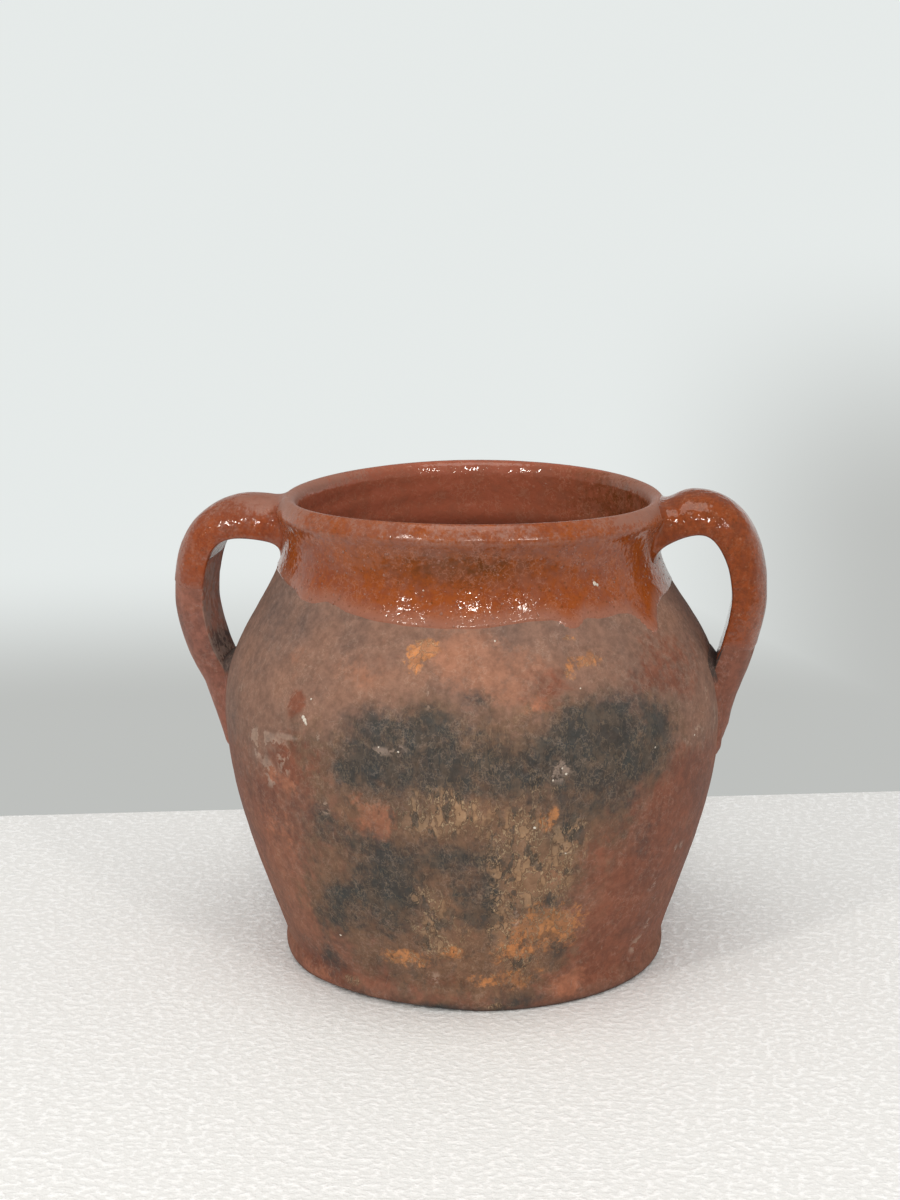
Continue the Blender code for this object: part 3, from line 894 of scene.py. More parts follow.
# marks of use on the clay: angle in degrees, height in millimetres,
# half width in degrees, half height in millimetres and strength
marks = {
    "soot": (
        (-88, 121, 4.5, 9, 1.0), (-92, 137, 6, 8, 0.85), (-104, 139, 6, 6, 0.55),
        (-103, 126, 8, 10, 0.8), (-109, 116, 3, 6, 0.8), (-97, 117, 9, 10, 0.68),
        (-82, 150, 3.4, 3.6, 0.75), (-79, 129, 7, 11, 0.45), (-76, 116, 8, 9, 0.6),
        (-55, 142, 7, 6, 0.9), (-62, 132, 5, 6, 0.95), (-52, 130, 11, 10, 0.9),
        (-39, 129, 5, 10, 0.9), (-55, 112, 5, 4, 0.9), (-46, 118, 10, 9, 0.8),
        (-66, 122, 7, 9, 0.55), (-62, 91, 3, 5, 0.75), (-57, 101, 8, 8, 0.55),
        (-39, 79, 3.5, 9, 0.5), (-47, 101, 6, 6, 0.35), (-118, 92, 6, 10, 0.5),
        (-108, 83, 7, 6, 0.75), (-103, 70, 6.5, 9, 1.0), (-106, 58, 8, 7, 0.85),
        (-116, 55, 5, 5, 0.8), (-104, 43, 6, 9, 0.7), (-118, 45, 8, 8, 0.42),
        (-86, 80, 9, 6, 0.75), (-86, 63, 4, 7, 0.55), (-79, 56, 2.4, 20, 0.7),
        (-84, 50, 3, 5, 0.55), (-127, 15, 6, 7, 0.6), (-124, 36, 6, 12, 0.35),
        (-64, 55, 4.5, 3.2, 0.6), (-59, 30, 3, 6, 0.6), (-68, 5, 9, 3.5, 0.5),
        (-89, 2, 8, 2.5, 0.75), (-57, 70, 3, 2, 0.5), (-140, 18, 5, 5, 0.35), (-120, 4, 6, 3, 0.5),
        (24, 120, 12, 16, 0.6), (52, 96, 14, 20, 0.85), (66, 128, 9, 9, 0.8),
        (88, 108, 10, 14, 0.7), (104, 70, 12, 18, 0.75), (122, 112, 9, 12, 0.65),
        (70, 52, 10, 12, 0.6), (146, 60, 8, 14, 0.45), (38, 40, 9, 10, 0.4), (92, 26, 9, 9, 0.5),
    ),
    "brown": (
        (-86, 120, 30, 22, 0.9), (-52, 124, 18, 18, 0.8), (-100, 78, 18, 28, 0.75),
        (-78, 66, 17, 44, 0.95), (-60, 96, 12, 24, 0.6), (-108, 44, 18, 22, 0.8),
        (-86, 20, 26, 16, 0.6), (-120, 62, 8, 18, 0.45), (-66, 30, 8, 18, 0.5),
        (60, 104, 34, 40, 0.9), (100, 64, 30, 36, 0.8), (130, 110, 14, 20, 0.5),
    ),
    "ochre": (
        (-88, 102, 8, 8, 1.0), (-94, 95, 5, 5, 0.7), (-73, 96, 4, 5, 0.8), (-71, 78, 7, 16, 0.8),
        (-75, 62, 3, 14, 0.8), (-66, 64, 6, 12, 0.85), (-61, 86, 4, 8, 0.75), (-94, 58, 4, 6, 0.7),
        (-91, 45, 7, 7, 0.6), (-92, 33, 6, 5, 0.65), (-75, 41, 2.4, 10, 0.75),
        (-69, 25, 5, 5, 0.65), (-121, 8, 3, 2, 0.7), (-76, 3, 4, 1.5, 0.8), (-66, 112, 3, 6, 0.4),
        (-70, 112, 2, 8, 0.45), (58, 76, 8, 10, 0.7), (84, 84, 7, 8, 0.8), (100, 46, 8, 9, 0.6),
        (40, 70, 5, 8, 0.5),
    ),
    "gold": (
        (-97, 163, 1.8, 4, 1.0), (-94, 169, 3.0, 2.4, 1.0), (-96, 167, 2, 2.4, 1.0),
        (-53, 162, 3, 2.6, 0.8), (-59, 158, 1.4, 5, 0.6), (-57, 171, 2.4, 1.4, 0.7),
        (-66, 97, 2, 5, 0.6), (-63, 42, 8, 10, 1.0), (-68, 43, 2.4, 6, 0.85),
        (-102, 26, 7, 3.6, 0.85), (-74, 16, 10, 5, 0.55), (-72, 30, 5, 5, 0.6),
        (-88, 31, 2.4, 3, 0.6), (60, 150, 3, 4, 0.8), (110, 92, 4, 5, 0.7),
    ),
    "ember": (
        (-104, 95, 3.6, 8, 1.0), (-134, 80, 9, 12, 0.42), (-69, 147, 4.0, 5, 0.3),
        (-54, 11, 5, 5, 1.0), (-136, 5, 8, 4, 0.7), (-133, 107, 2.4, 5, 0.75),
        (-127, 104, 3, 4, 0.5), (-64, 67, 3, 5, 0.5), (-108, 105, 2, 4, 0.4), (48, 120, 4, 6, 0.7),
        (96, 130, 5, 5, 0.6),
    ),
    "brick": (
        (-27, 96, 10, 17, 0.95), (-30, 152, 14, 14, 0.6), (-66, 152, 7, 8, 0.5),
        (-38, 58, 14, 22, 0.85), (-36, 22, 22, 16, 0.8), (-124, 114, 8, 11, 0.95),
        (-125, 141, 2.3, 4.4, 1.1), (-136, 92, 12, 14, 0.45), (-142, 66, 18, 22, 0.3),
        (-137, 8, 15, 7, 0.8), (-90, 15, 25, 8, 0.5), (-50, 86, 8, 12, 0.55),
        (-8, 70, 16, 34, 0.75), (-163, 80, 12, 40, 0.6), (20, 60, 18, 28, 0.7),
        (130, 50, 20, 24, 0.7), (160, 90, 14, 30, 0.7), (75, 14, 24, 9, 0.5),
    ),
    "pink": (
        (-84, 165, 7, 11, 1.0), (-72, 160, 8, 8, 0.6), (-131, 159, 4, 4, 0.45),
        (-110, 158, 8, 8, 0.35), (-77, 152, 6, 5, 0.5), (40, 163, 12, 8, 0.6),
        (100, 160, 12, 8, 0.6), (150, 150, 10, 12, 0.4),
    ),
    "pale": (
        (-139, 118, 2.8, 5, 1.0), (-134, 122, 3.4, 2.2, 0.95), (-134, 106, 2.0, 5, 0.95),
        (-128, 115, 1.6, 6, 0.85), (-25, 121, 3, 3, 0.8), (-21, 118, 3, 2, 0.6),
        (-31, 53, 1.7, 4, 0.7), (-29, 19, 2.6, 3.6, 0.6), (-25.5, 28, 1.4, 4, 0.55),
        (-64, 118, 1.8, 4, 0.75), (-102, 127, 3.4, 1.6, 0.5), (-98, 128, 1, 2, 0.6),
        (-61, 125, 1.4, 2, 0.6), (-117, 97, 1.4, 3, 0.6), (-23, 65, 4, 2.6, 0.45),
        (-12, 122, 1.2, 6, 0.5), (-16, 136, 1, 8, 0.45), (-92, 150, 0.7, 5, 0.6),
        (-148, 136, 3, 4, 0.4), (-118, 129, 1, 2, 0.5), (-127, 126, 3, 1.2, 0.5),
        (-72, 49, 0.8, 4, 0.6), (-93, 16, 0.7, 4, 0.7), (34, 90, 3, 4, 0.6), (80, 138, 3, 3, 0.6),
        (118, 84, 3, 5, 0.5), (142, 118, 3, 4, 0.5),
    ),
}


def applyMarks(obj):
    verts = readVectors(obj, "co")
    angle = np.degrees(np.arctan2(verts[:, 1], verts[:, 0]))
    height = verts[:, 2] * 1000
    for name, spots in marks.items():
        left = np.ones(len(verts))
        for centre, level, wide, tall, strength in spots:
            away = (angle - centre + 180) % 360 - 180
            reach = (away / wide) ** 2 + ((height - level) / tall) ** 2
            left *= 1 - np.clip(strength * np.exp(-0.75 * reach), 0, 1)
        setMask(obj, name, 1 - left)
    # the shoulder carries a grey-mauve bloom that fades down the belly
    setMask(obj, "bloom", ramp(height, 88, 138) * 0.75 + 0.12)
    # the clay darker towards the bottom of the foot
    setMask(obj, "footDirt", 1 - ramp(height, 0.3, 3.2))


# light and dark in the clay itself: how much each pattern counts
shades = {"Mottle": 0.66, "Cloud": 0.6, "Streak": 0.16, "Grain": 0.42, "Fleck": 0.28}
warmth = 0.35
# dots in the glaze, two sizes of each: scale, colour channel that picks them, least value, width
specks = {
    "Pale": ((300.0, 0, 0.86, 0.3), (620.0, 1, 0.72, 0.42)),
    "Dark": ((460.0, 1, 0.74, 0.4), (900.0, 2, 0.6, 0.5)),
}


def patternTree(name, ins, outs):
    ins = [("Place", "Vector", None), *[(title, "Float", value) for title, value in ins.items()]]
    return newTree(name, "ShaderNodeTree", ins, [(title, "Float") for title in outs])


def grainGroup():
    outs = ("Mottle", "Cloud", "Grain", "Streak", "Fleck", "Worm")
    bench, given, made = patternTree("clayGrain", {"Scale": 1.0}, outs)
    noise, ease = bench.noise, bench.ease
    bench.tree.interface.new_socket(name="Tint", in_out="OUTPUT", socket_type="NodeSocketColor")
    place = bench.scaled(given["Place"], given["Scale"])
    upright = bench.get(0, "ShaderNodeMapping", {"Vector": place, "Scale": (1.0, 1.0, 0.22)})
    parts = {
        "Mottle": noise(place, 95.0, 6.0, 0.62),
        "Cloud": noise(place, 26.0, 4.0, 0.55),
        "Grain": noise(place, 780.0, 3.0, 0.6),
        "Streak": noise(upright, 420.0, 4.0, 0.6),
        "Fleck": ease(noise(place, 250.0, 5.0, 0.7), 0.36, 0.64),
    }
    # thin winding lines that come and go
    level = bench.calc("ABSOLUTE", noise(place, 230.0, 3.0, 0.6) - 0.5)
    parts["Worm"] = bench.fall(level, 0.004, 0.034) * ease(noise(place, 85.0, 2.0), 0.40, 0.55)
    # cloudy parts are warmer
    shade = 1.0
    for title, amount in shades.items():
        shade = (parts[title] - 0.5) * amount + shade
    warm = (parts["Cloud"] - 0.5) * warmth
    tint = {"Red": shade + warm, "Green": shade, "Blue": shade - warm}
    parts["Tint"] = bench.get(0, "ShaderNodeCombineColor", tint)
    for title, value in parts.items():
        bench.feed(made[title], value)
    return bench.tree


def raggedGroup():
    # a soft mask gets the torn edge of a worn or smoked patch
    ins = {"Mask": 0.0, "Scale": 120.0, "Tear": 0.8, "Soft": 0.12, "Stretch": 1.0}
    bench, given, made = patternTree("raggedEdge", ins, ["Mask"])
    feeds = {0: given["Place"], 1: bench.vector(1.0, 1.0, given["Stretch"])}
    place = bench.get(0, "ShaderNodeVectorMath", feeds, operation="MULTIPLY")
    broad = bench.noise(place, given["Scale"], 7.0, 0.68) - 0.5
    fine = bench.noise(place, given["Scale"] * 4.3, 4.0, 0.6) - 0.5
    tear = (broad * 1.6 + fine) * given["Tear"] * bench.ease(given["Mask"], 0.02, 0.3)
    low, high = 0.42 - given["Soft"], given["Soft"] + 0.42
    bench.feed(made["Mask"], bench.ease(given["Mask"] + tear, low, high))
    return bench.tree


def crustGroup():
    # bits of burnt-on crust, light ones with curled edges and dark ones
    bench, given, made = patternTree("burntCrust", {"Scale": 300.0}, ("Light", "Dark", "Curl"))
    bits = {}
    for title, shift in (("Light", (0, 0, 0)), ("Dark", (0.37, 0.11, 0.23))):
        feeds = {"Vector": given["Place"], "Location": shift, "Scale": (1.0, 1.0, 0.5)}
        place = bench.get(0, "ShaderNodeMapping", feeds)
        bits[title] = bench.noise(place, given["Scale"], 4.0, 0.62)
    bench.feed(made["Light"], bench.ease(bits["Light"], 0.52, 0.56))
    bench.feed(made["Dark"], bench.ease(bits["Dark"], 0.56, 0.60))
    level = bench.calc("ABSOLUTE", bits["Light"] - 0.48)
    bench.feed(made["Curl"], bench.fall(level, 0.005, 0.026))
    return bench.tree


def scratchGroup():
    # fine pale scratches and hair cracks that come and go
    bench, given, made = patternTree("hairScratches", {"Scale": 40.0, "Amount": 0.4}, ["Mask"])
    feeds = {"Vector": given["Place"], "Scale": given["Scale"]}
    lines = bench.get("Distance", "ShaderNodeTexVoronoi", feeds, feature="DISTANCE_TO_EDGE")
    gate = bench.noise(given["Place"], given["Scale"] * 3.1, 3.0, 0.6) + given["Amount"] * 0.3
    bench.feed(made["Mask"], bench.fall(lines, 0.002, 0.010) * bench.ease(gate, 0.66, 0.74))
    return bench.tree


def specksGroup():
    bench, given, made = patternTree("glazeSpecks", {}, specks)

    def dotted(scale, channel, least, wide):
        feeds = {"Vector": given["Place"], "Scale": scale}
        cells = bench.put("ShaderNodeTexVoronoi", feeds).outputs
        drawn = bench.get(channel, "ShaderNodeSeparateColor", {0: cells["Color"]})
        dots = bench.fall(cells["Distance"], wide * 0.3, wide)
        return dots * bench.ease(drawn, least, least + 0.06)

    for title, (large, small) in specks.items():
        bench.feed(made[title], bench.calc("MAXIMUM", dotted(*large), dotted(*small) * 0.6))
    return bench.tree


groups = {
    "grain": grainGroup(),
    "ragged": raggedGroup(),
    "crust": crustGroup(),
    "scratches": scratchGroup(),
    "specks": specksGroup(),
}


class Finish(NodeBench):
    # one material, with the patterns above at hand
    def __init__(self, name):
        self.material = bpy.data.materials.new(name)
        self.material.use_nodes = True
        super().__init__(self.material.node_tree)
        self.place = self.get("Object", "ShaderNodeTexCoord")

    def group(self, key, **feeds):
        node = self.put("ShaderNodeGroup", {"Place": self.place, **feeds}, node_tree=groups[key])
        return {socket.name: Value(self, socket) for socket in node.outputs}

    def attribute(self, title):
        return self.get("Fac", "ShaderNodeAttribute", attribute_name=title)

    def coated(self, colour, tone, coats):
        # one tone over the other
        for title, share in coats:
            colour = self.mix(share, colour, tone[title])
        return colour

    def finish(self, colour, roughness, height, depth):
        shader = self.tree.nodes["Principled BSDF"]
        bump = {"Height": height, "Distance": depth, "Strength": 1.0}
        self.feed(shader.inputs["Base Color"], colour)
        self.feed(shader.inputs["Roughness"], roughness)
        self.feed(shader.inputs["Normal"], self.get(0, "ShaderNodeBump", bump))
        return shader


clayTones = {
    "potClay": {
        "base": (0.255, 0.112, 0.071), "bloom": (0.243, 0.136, 0.097),
        "pink": (0.345, 0.160, 0.100), "brick": (0.216, 0.074, 0.042),
        "brown": (0.170, 0.098, 0.062), "ochre": (0.360, 0.222, 0.128),
        "gold": (0.500, 0.212, 0.084), "ember": (0.405, 0.156, 0.086),
        "soot": (0.047, 0.051, 0.049), "pale": (0.430, 0.310, 0.240),
        "crumb": (0.480, 0.330, 0.205), "shine": 0.0,
    },
    "handleClay": {
        "base": (0.275, 0.108, 0.074), "bloom": (0.310, 0.140, 0.103),
        "pink": (0.480, 0.200, 0.130), "brick": (0.212, 0.076, 0.046),
        "brown": (0.150, 0.085, 0.060), "ochre": (0.330, 0.180, 0.095),
        "gold": (0.420, 0.190, 0.085), "ember": (0.340, 0.130, 0.080),
        "soot": (0.055, 0.050, 0.045), "pale": (0.430, 0.300, 0.245),
        "crumb": (0.380, 0.250, 0.160), "shine": 0.12,
    },
}
# the torn edge of each patch: scale, tear, softness and stretch
patches = {
    "bloom": (55.0, 0.8, 0.34, 0.8), "pink": (80.0, 1.0, 0.34, 1.0),
    "brick": (70.0, 0.9, 0.26, 1.0), "brown": (60.0, 1.0, 0.28, 0.9),
    "ochre": (80.0, 1.1, 0.26, 0.8), "gold": (120.0, 1.4, 0.22, 1.0),
    "ember": (110.0, 1.1, 0.28, 1.0), "soot": (62.0, 1.0, 0.42, 0.95),
}
# how thick the bits of crust lie on the ochre, on the brown and on the gold
scatter = {"Light": (0.8, 0.16, 0.0), "Curl": (0.9, 0.2, 0.5), "Dark": (0.44, 0.34, 0.24)}
clayRelief, glazeRelief, limeRelief = 0.0005, 0.00026, 0.0002


def makeClay(name, tone):
    bench = Finish(name)
    grain = bench.group("grain", Scale=1.0)
    crust = bench.group("crust", Scale=175.0)
    scratch = bench.group("scratches", Scale=44.0, Amount=0.3)["Mask"]
    patch, bits = {}, {}
    for title, (scale, tear, soft, stretch) in patches.items():
        feeds = {"Scale": scale, "Tear": tear, "Soft": soft, "Stretch": stretch}
        patch[title] = bench.group("ragged", Mask=bench.attribute(title), **feeds)["Mask"]
    for title, (onOchre, onBrown, onGold) in scatter.items():
        ground = patch["ochre"] * onOchre + patch["brown"] * onBrown + patch["gold"] * onGold
        bits[title] = ground * crust[title]
    flakes = bench.ease(bench.noise(bench.place, 140.0, 4.0, 0.65), 0.49, 0.53)
    coats = (
        # on the handles' inner faces bloom, pink and pale are partly painted light
        ("bloom", patch["bloom"]),
        ("pink", patch["pink"] * 0.75),
        ("brick", patch["brick"] * 0.9),
        ("brown", patch["brown"] * 0.85),
        ("ember", patch["ember"] * 0.8),
        ("ochre", patch["ochre"] * 0.3),
        # on the handles this patch also lays painted shade in the corner under the fingers
        ("soot", patch["soot"] * (grain["Mottle"] * 0.62 + 0.56)),
        ("ochre", bits["Light"] * 0.75),
        ("gold", patch["gold"] * (crust["Light"] * 0.45 + 0.58)),
        ("crumb", bits["Curl"] * 0.85),
        ("soot", bits["Dark"] * 0.8),
        ("pale", bench.ease(bench.attribute("pale"), 0.08, 0.40) * flakes * 0.6),
        ("pale", scratch * 0.3),
        ("pale", grain["Worm"] * 0.2),
        # darker towards the bottom of the foot
        ("soot", bench.attribute("footDirt") * 0.6),
    )
    colour = bench.mix(1.0, bench.coated(tone["base"], tone, coats), grain["Tint"], "MULTIPLY")
    rough = (0.80 - tone["shine"]) - patch["brick"] * 0.14 + patch["soot"] * 0.06
    rough = rough + (grain["Mottle"] - 0.5) * 0.3
    height = grain["Streak"] * 0.2 + grain["Grain"] * 0.3 + grain["Mottle"] * 0.6
    height = height + bench.calc("MAXIMUM", bits["Light"], bits["Curl"]) * 1.1
    height = height - bits["Dark"] * 0.7 - scratch * 0.3
    shader = bench.finish(colour, rough, height, clayRelief)
    shader.inputs["Specular IOR Level"].default_value = 0.25
    return bench.material


glazeTones = {
    "neckGlaze": {
        "honey": (0.335, 0.076, 0.013), "red": (0.250, 0.055, 0.018),
        "olive": (0.112, 0.033, 0.003), "edge": (0.335, 0.146, 0.098),
        "dust": (0.328, 0.152, 0.106), "speck": (0.430, 0.185, 0.115),
        "inner": (0.450, 0.142, 0.090), "curls": 0.42, "peel": 1.3, "dusted": 0.22,
    },
    "handleGlaze": {
        "honey": (0.325, 0.070, 0.018), "red": (0.226, 0.044, 0.013),
        "olive": (0.120, 0.034, 0.008), "edge": (0.240, 0.070, 0.038),
        "dust": (0.330, 0.150, 0.105), "speck": (0.440, 0.200, 0.110),
        "inner": (0.330, 0.082, 0.024), "curls": 0.16, "peel": 2.0, "dusted": 0.08,
    },
}


def makeGlaze(name, tone):
    bench = Finish(name)
    grain = bench.group("grain", Scale=1.15)
    dots = bench.group("specks")
    worn, inside, thin = (bench.attribute(title) for title in ("wear", "inside", "thin"))
    wear = bench.group("ragged", Mask=worn, Scale=150.0, Tear=1.2, Soft=0.34)["Mask"]
    haze = bench.group("ragged", Mask=worn, Scale=60.0, Tear=0.6, Soft=0.42)["Mask"]
    scratch = bench.group("scratches", Scale=55.0, Amount=0.25)["Mask"]

    blend = grain["Cloud"] * 0.6 + grain["Mottle"] * 0.6 + (grain["Fleck"] - 0.5) * 0.16
    colour = bench.mix(bench.ease(blend, 0.44, 0.76), tone["honey"], tone["red"])
    colour = bench.mix(inside, colour, bench.mix(grain["Mottle"], tone["inner"], tone["red"]))
    coats = (
        # the olive mask also lays painted shade inside the mouth and over the right handle
        ("olive", bench.attribute("olive") * (grain["Fleck"] * 0.5 + 0.45)),
        ("edge", thin),
        ("olive", dots["Dark"] * 0.5 * (1.0 - inside * 0.8)),
        ("speck", dots["Pale"] * 0.45),
        ("speck", grain["Worm"] * tone["curls"]),
        ("dust", bench.ease(grain["Mottle"], 0.46, 0.64) * tone["dusted"]),
        ("dust", haze * 0.3),
        ("dust", wear * 0.8),
        ("dust", scratch * 0.2),
    )
    rough = grain["Mottle"] * 0.08 + 0.04 + haze * 0.12 + wear * 0.3 + thin * 0.10
    peel = bench.noise(bench.place, 270.0, 1.0, 0.5) * tone["peel"]
    height = peel + grain["Mottle"] * 0.5 + dots["Pale"] * 0.35 - dots["Dark"] * 0.15
    shader = bench.finish(bench.coated(colour, tone, coats), rough, height, glazeRelief)
    shader.inputs["IOR"].default_value = 1.45
    return bench.material


def makeLime():
    # burnt lime that popped through the surface
    bench = Finish("limeChip")
    grain = bench.group("grain", Scale=2.0)
    colour = bench.mix(grain["Mottle"], (0.86, 0.80, 0.70), (0.62, 0.52, 0.42))
    bench.finish(colour, grain["Grain"] * 0.3 + 0.55, grain["Grain"], limeRelief)
    return bench.material


materials = {name: makeClay(name, tone) for name, tone in clayTones.items()}
materials["slipClay"] = makeClay("slipClay", {**clayTones["handleClay"], "shine": 0.0})
materials.update({name: makeGlaze(name, tone) for name, tone in glazeTones.items()})
materials["limeChip"] = makeLime()
print("clays and glazes mixed")


def glazeMasks(coat):
    verts = readVectors(coat, "co")
    angle = np.degrees(np.arctan2(verts[:, 1], verts[:, 0]))
    height = verts[:, 2] * 1000
    radius = np.hypot(verts[:, 0], verts[:, 1]) * 1000
    side = np.abs(np.cos(np.radians(angle)))
    level = height + hand["Rim Droop"] * 1000 * side**2
    # worn on the crown of the lip, its outer edge, and the neck beside the handles
    crown = ramp(level, 213.5, 218.0) * (0.12 + 0.62 * ramp(side, 0.55, 0.98))
    outer = (radius > 86.2) * ramp(level, 208, 214) * 0.28
    flank = (radius > 85) * ramp(side, 0.9, 0.985) * ramp(height, 183, 200) * 0.5
    setMask(coat, "wear", np.maximum(np.maximum(crown, outer), flank))
    middle = np.exp(-(((angle + 86) / 26) ** 2) - ((height - 202) / 8) ** 2) * (radius > 85)
    # painted shade: olive darkens the glaze inside the mouth on its right side
    shaded = np.exp(-(((angle - 28) / 36) ** 2)) * (radius < 84) * ramp(height, 165, 190) * 0.95
    setMask(coat, "olive", np.maximum(middle, shaded))
    above = np.zeros(len(verts), np.float32)
    coat.data.attributes["aboveGlaze"].data.foreach_get("value", above)
    low = (radius > 80) * (height < 192)
    setMask(coat, "thin", (1 - ramp(above, 0.0010, 0.0090)) * low * 0.8)


def handleMasks(bar, glazed, slips, handle):
    # scuffs on the outermost faces; painted shade in the soot tone in the corner under the fingers;
    # the inner faces pinker and paler, partly their own tone and partly painted light
    dusty, cornerShadeAt, thinFrom = handle["dusty"], handle["cornerShadeAt"], handle["thinFrom"]
    for obj in (bar, glazed, *slips):
        verts, normals = readVectors(obj, "co"), readVectors(obj, "normal")
        out = normals[:, 0] * handle["side"]
        height = verts[:, 2] * 1000
        reach = np.abs(verts[:, 0]) * 1000
        rub = ramp(out, 0.35, 0.9) * ramp(reach, 118, 130)
        up = ramp(normals[:, 2], 0.45, 0.95)
        root = 1 - ramp(reach, 92, 112)
        inward = ramp(-out, 0.1, 0.8)
        # painted shade: darkest in the corner under the fingers and on the faces turned towards the
        # pot
        corner = np.exp(-(((height - cornerShadeAt) / 9) ** 2)) * ramp(reach, 100, 108)
        cornerShade = np.clip(corner * (0.15 + inward), 0, 1) * 0.85
        # on the lower slip the painted shade grows upwards towards that corner
        if obj is slips[1]:
            cornerShade = ramp(height, cornerShadeAt - 13, cornerShadeAt - 5) * 0.9
        fade = 1 - ramp(height, thinFrom, thinFrom + 14)
        worn = (0.2 + up * (0.22 + 0.4 * root)) * dusty
        masks = {
            # pale, pink and bloom on the inner faces are partly painted light
            "pale": np.maximum(rub * 0.2, ramp(-out, 0.3, 0.9) * 0.42 * dusty),
            "pink": inward * 0.9 * dusty,
            "bloom": np.maximum(rub * 0.8 + 0.15, inward * 0.9 * dusty),
            "wear": np.maximum(rub * handle["rubbed"], worn),
            "soot": cornerShade,
            "brown": (1 - ramp(height, 132, 150)) * inward * 0.25,
            "ember": 0.25 * ramp(height, 150, 165),
            # brick and olive over the whole handle; on the right handle partly painted shade
            "brick": np.full(len(verts), handle["red"]),
            "olive": np.maximum(handle["deep"], up * 0.25 * dusty),
            "thin": fade * (obj is glazed) * 0.8,
        }
        for name, values in masks.items():
            setMask(obj, name, values)


# one lump before it is sized, and its width for its length
lump = {"Segments": 8, "Rings": 5, "Radius": 1.0}
lumpWidth = 0.8


def makeSettingTree():
    # a small lump is set on every point, turned to the surface there
    ins = [("Points", "Geometry", None), ("Flatness", "Float", 0.5), ("Unevenness", "Float", 0.3)]
    ins += [("Seed", "Int", 5), ("Finish", "Material", None)]
    bench, given, made = newTree("setLumps", "GeometryNodeTree", ins, [("Lumps", "Geometry")])
    get = bench.get
    ball = get("Mesh", "GeometryNodeMeshUVSphere", lump)
    place = get(0, "GeometryNodeInputPosition")
    dent = (bench.noise(place, 1.3, 1.0) - 0.5) * given["Unevenness"]
    swell = bench.scaled(place, dent * 2.0)
    ball = get(0, "GeometryNodeSetPosition", {"Geometry": ball, "Offset": swell})
    normal = {"Vector": bench.named("facing", "FLOAT_VECTOR")}
    facing = get(0, "FunctionNodeAlignRotationToVector", normal, axis="Z")
    whole = {3: math.tau, "Seed": given["Seed"]}
    spin = get(1, "FunctionNodeRandomValue", whole, data_type="FLOAT")
    turn = get(0, "FunctionNodeAxisAngleToRotation", {"Axis": (0, 0, 1), "Angle": spin})
    turn = get(0, "FunctionNodeRotateRotation", {0: facing, 1: turn}, rotation_space="LOCAL")
    size = bench.named("size")
    size = bench.vector(size, size * lumpWidth, size * given["Flatness"])
    points = get(0, "GeometryNodeMeshToPoints", {"Mesh": given["Points"]})
    feeds = {"Points": points, "Instance": ball, "Rotation": turn, "Scale": size}
    flow = get(0, "GeometryNodeInstanceOnPoints", feeds)
    bench.feed(made["Lumps"], bench.sealed(flow, given["Finish"]))
    return bench


def lumpsObject(name, spots, tree, setting, values):
    # each spot is an angle in degrees, a height in millimetres and a radius in millimetres
    verts, facing, size = [], [], []
    for angle, height, radius in spots:
        turn = math.radians(angle)
        aim = Vector((math.cos(turn), math.sin(turn), 0))
        hit, normal, _, _ = tree.ray_cast(aim * 0.2 + Vector((0, 0, height / 1000)), -aim)
        if hit:
            verts.append(hit)
            facing.append(normal)
            size.append(radius / 1000)
    obj = addObject(name, verts, [])
    setVectors(obj, "facing", facing)
    setMask(obj, "size", size)
    useTree(obj, setting, values)
    print(name, "set:", len(verts))
    return obj


pimples = {
    "count": 420, "seed": 11, "heights": (180, 209), "wear": 0.6,
    "smallest": 0.26, "largest": 0.80, "mostlySmall": 2.2,
    "values": {"Flatness": 0.42, "Finish": materials["neckGlaze"]},
}
chips = {
    "clay": (
        (-121.2, 144, 0.55), (-122.5, 136.0, 1.0), (-122.0, 135.0, 1.15), (-121.6, 134.1, 0.85),
        (-121.3, 133.3, 0.55), (-69.2, 93.4, 0.7), (-57.6, 151.6, 0.4), (-77.0, 171.8, 0.5),
        (-63.5, 119.5, 0.5), (-62.6, 116.8, 0.6), (-65.5, 114.5, 0.5), (-120.6, 31.6, 0.6),
        (-102.8, 128.6, 0.45), (-98.4, 127.4, 0.5), (-61.5, 79.5, 0.5), (-39.5, 121.5, 0.45),
        (-24.5, 120.4, 0.5), (35, 88, 0.6), (82, 136, 0.6), (119, 82, 0.5), (150, 120, 0.6),
    ),
    "glaze": (
        (-45.4, 191, 1.15), (-44.6, 190.4, 0.8), (-96.5, 191.5, 0.4), (64, 193, 0.6),
        (132, 188, 0.5),
    ),
    "values": {"Flatness": 0.35, "Unevenness": 0.9, "Seed": 9, "Finish": materials["limeChip"]},
}


def pimpleSpots():
    draw = np.random.default_rng(pimples["seed"])
    angles = draw.uniform(-180, 180, pimples["count"])
    heights = draw.uniform(*pimples["heights"], pimples["count"])
    sizes = draw.uniform(0, 1, pimples["count"]) ** pimples["mostlySmall"]
    sizes = pimples["smallest"] + sizes * (pimples["largest"] - pimples["smallest"])
    return np.stack([angles, heights, sizes], 1)


throw = makeThrowTree()
glazeEdge = glazeLineObject()
body = makeBody(throw)
applyMarks(body)
coat, coatTree = makeCoat(throw)
glazeMasks(coat)
bodyTree = treeOf(body)

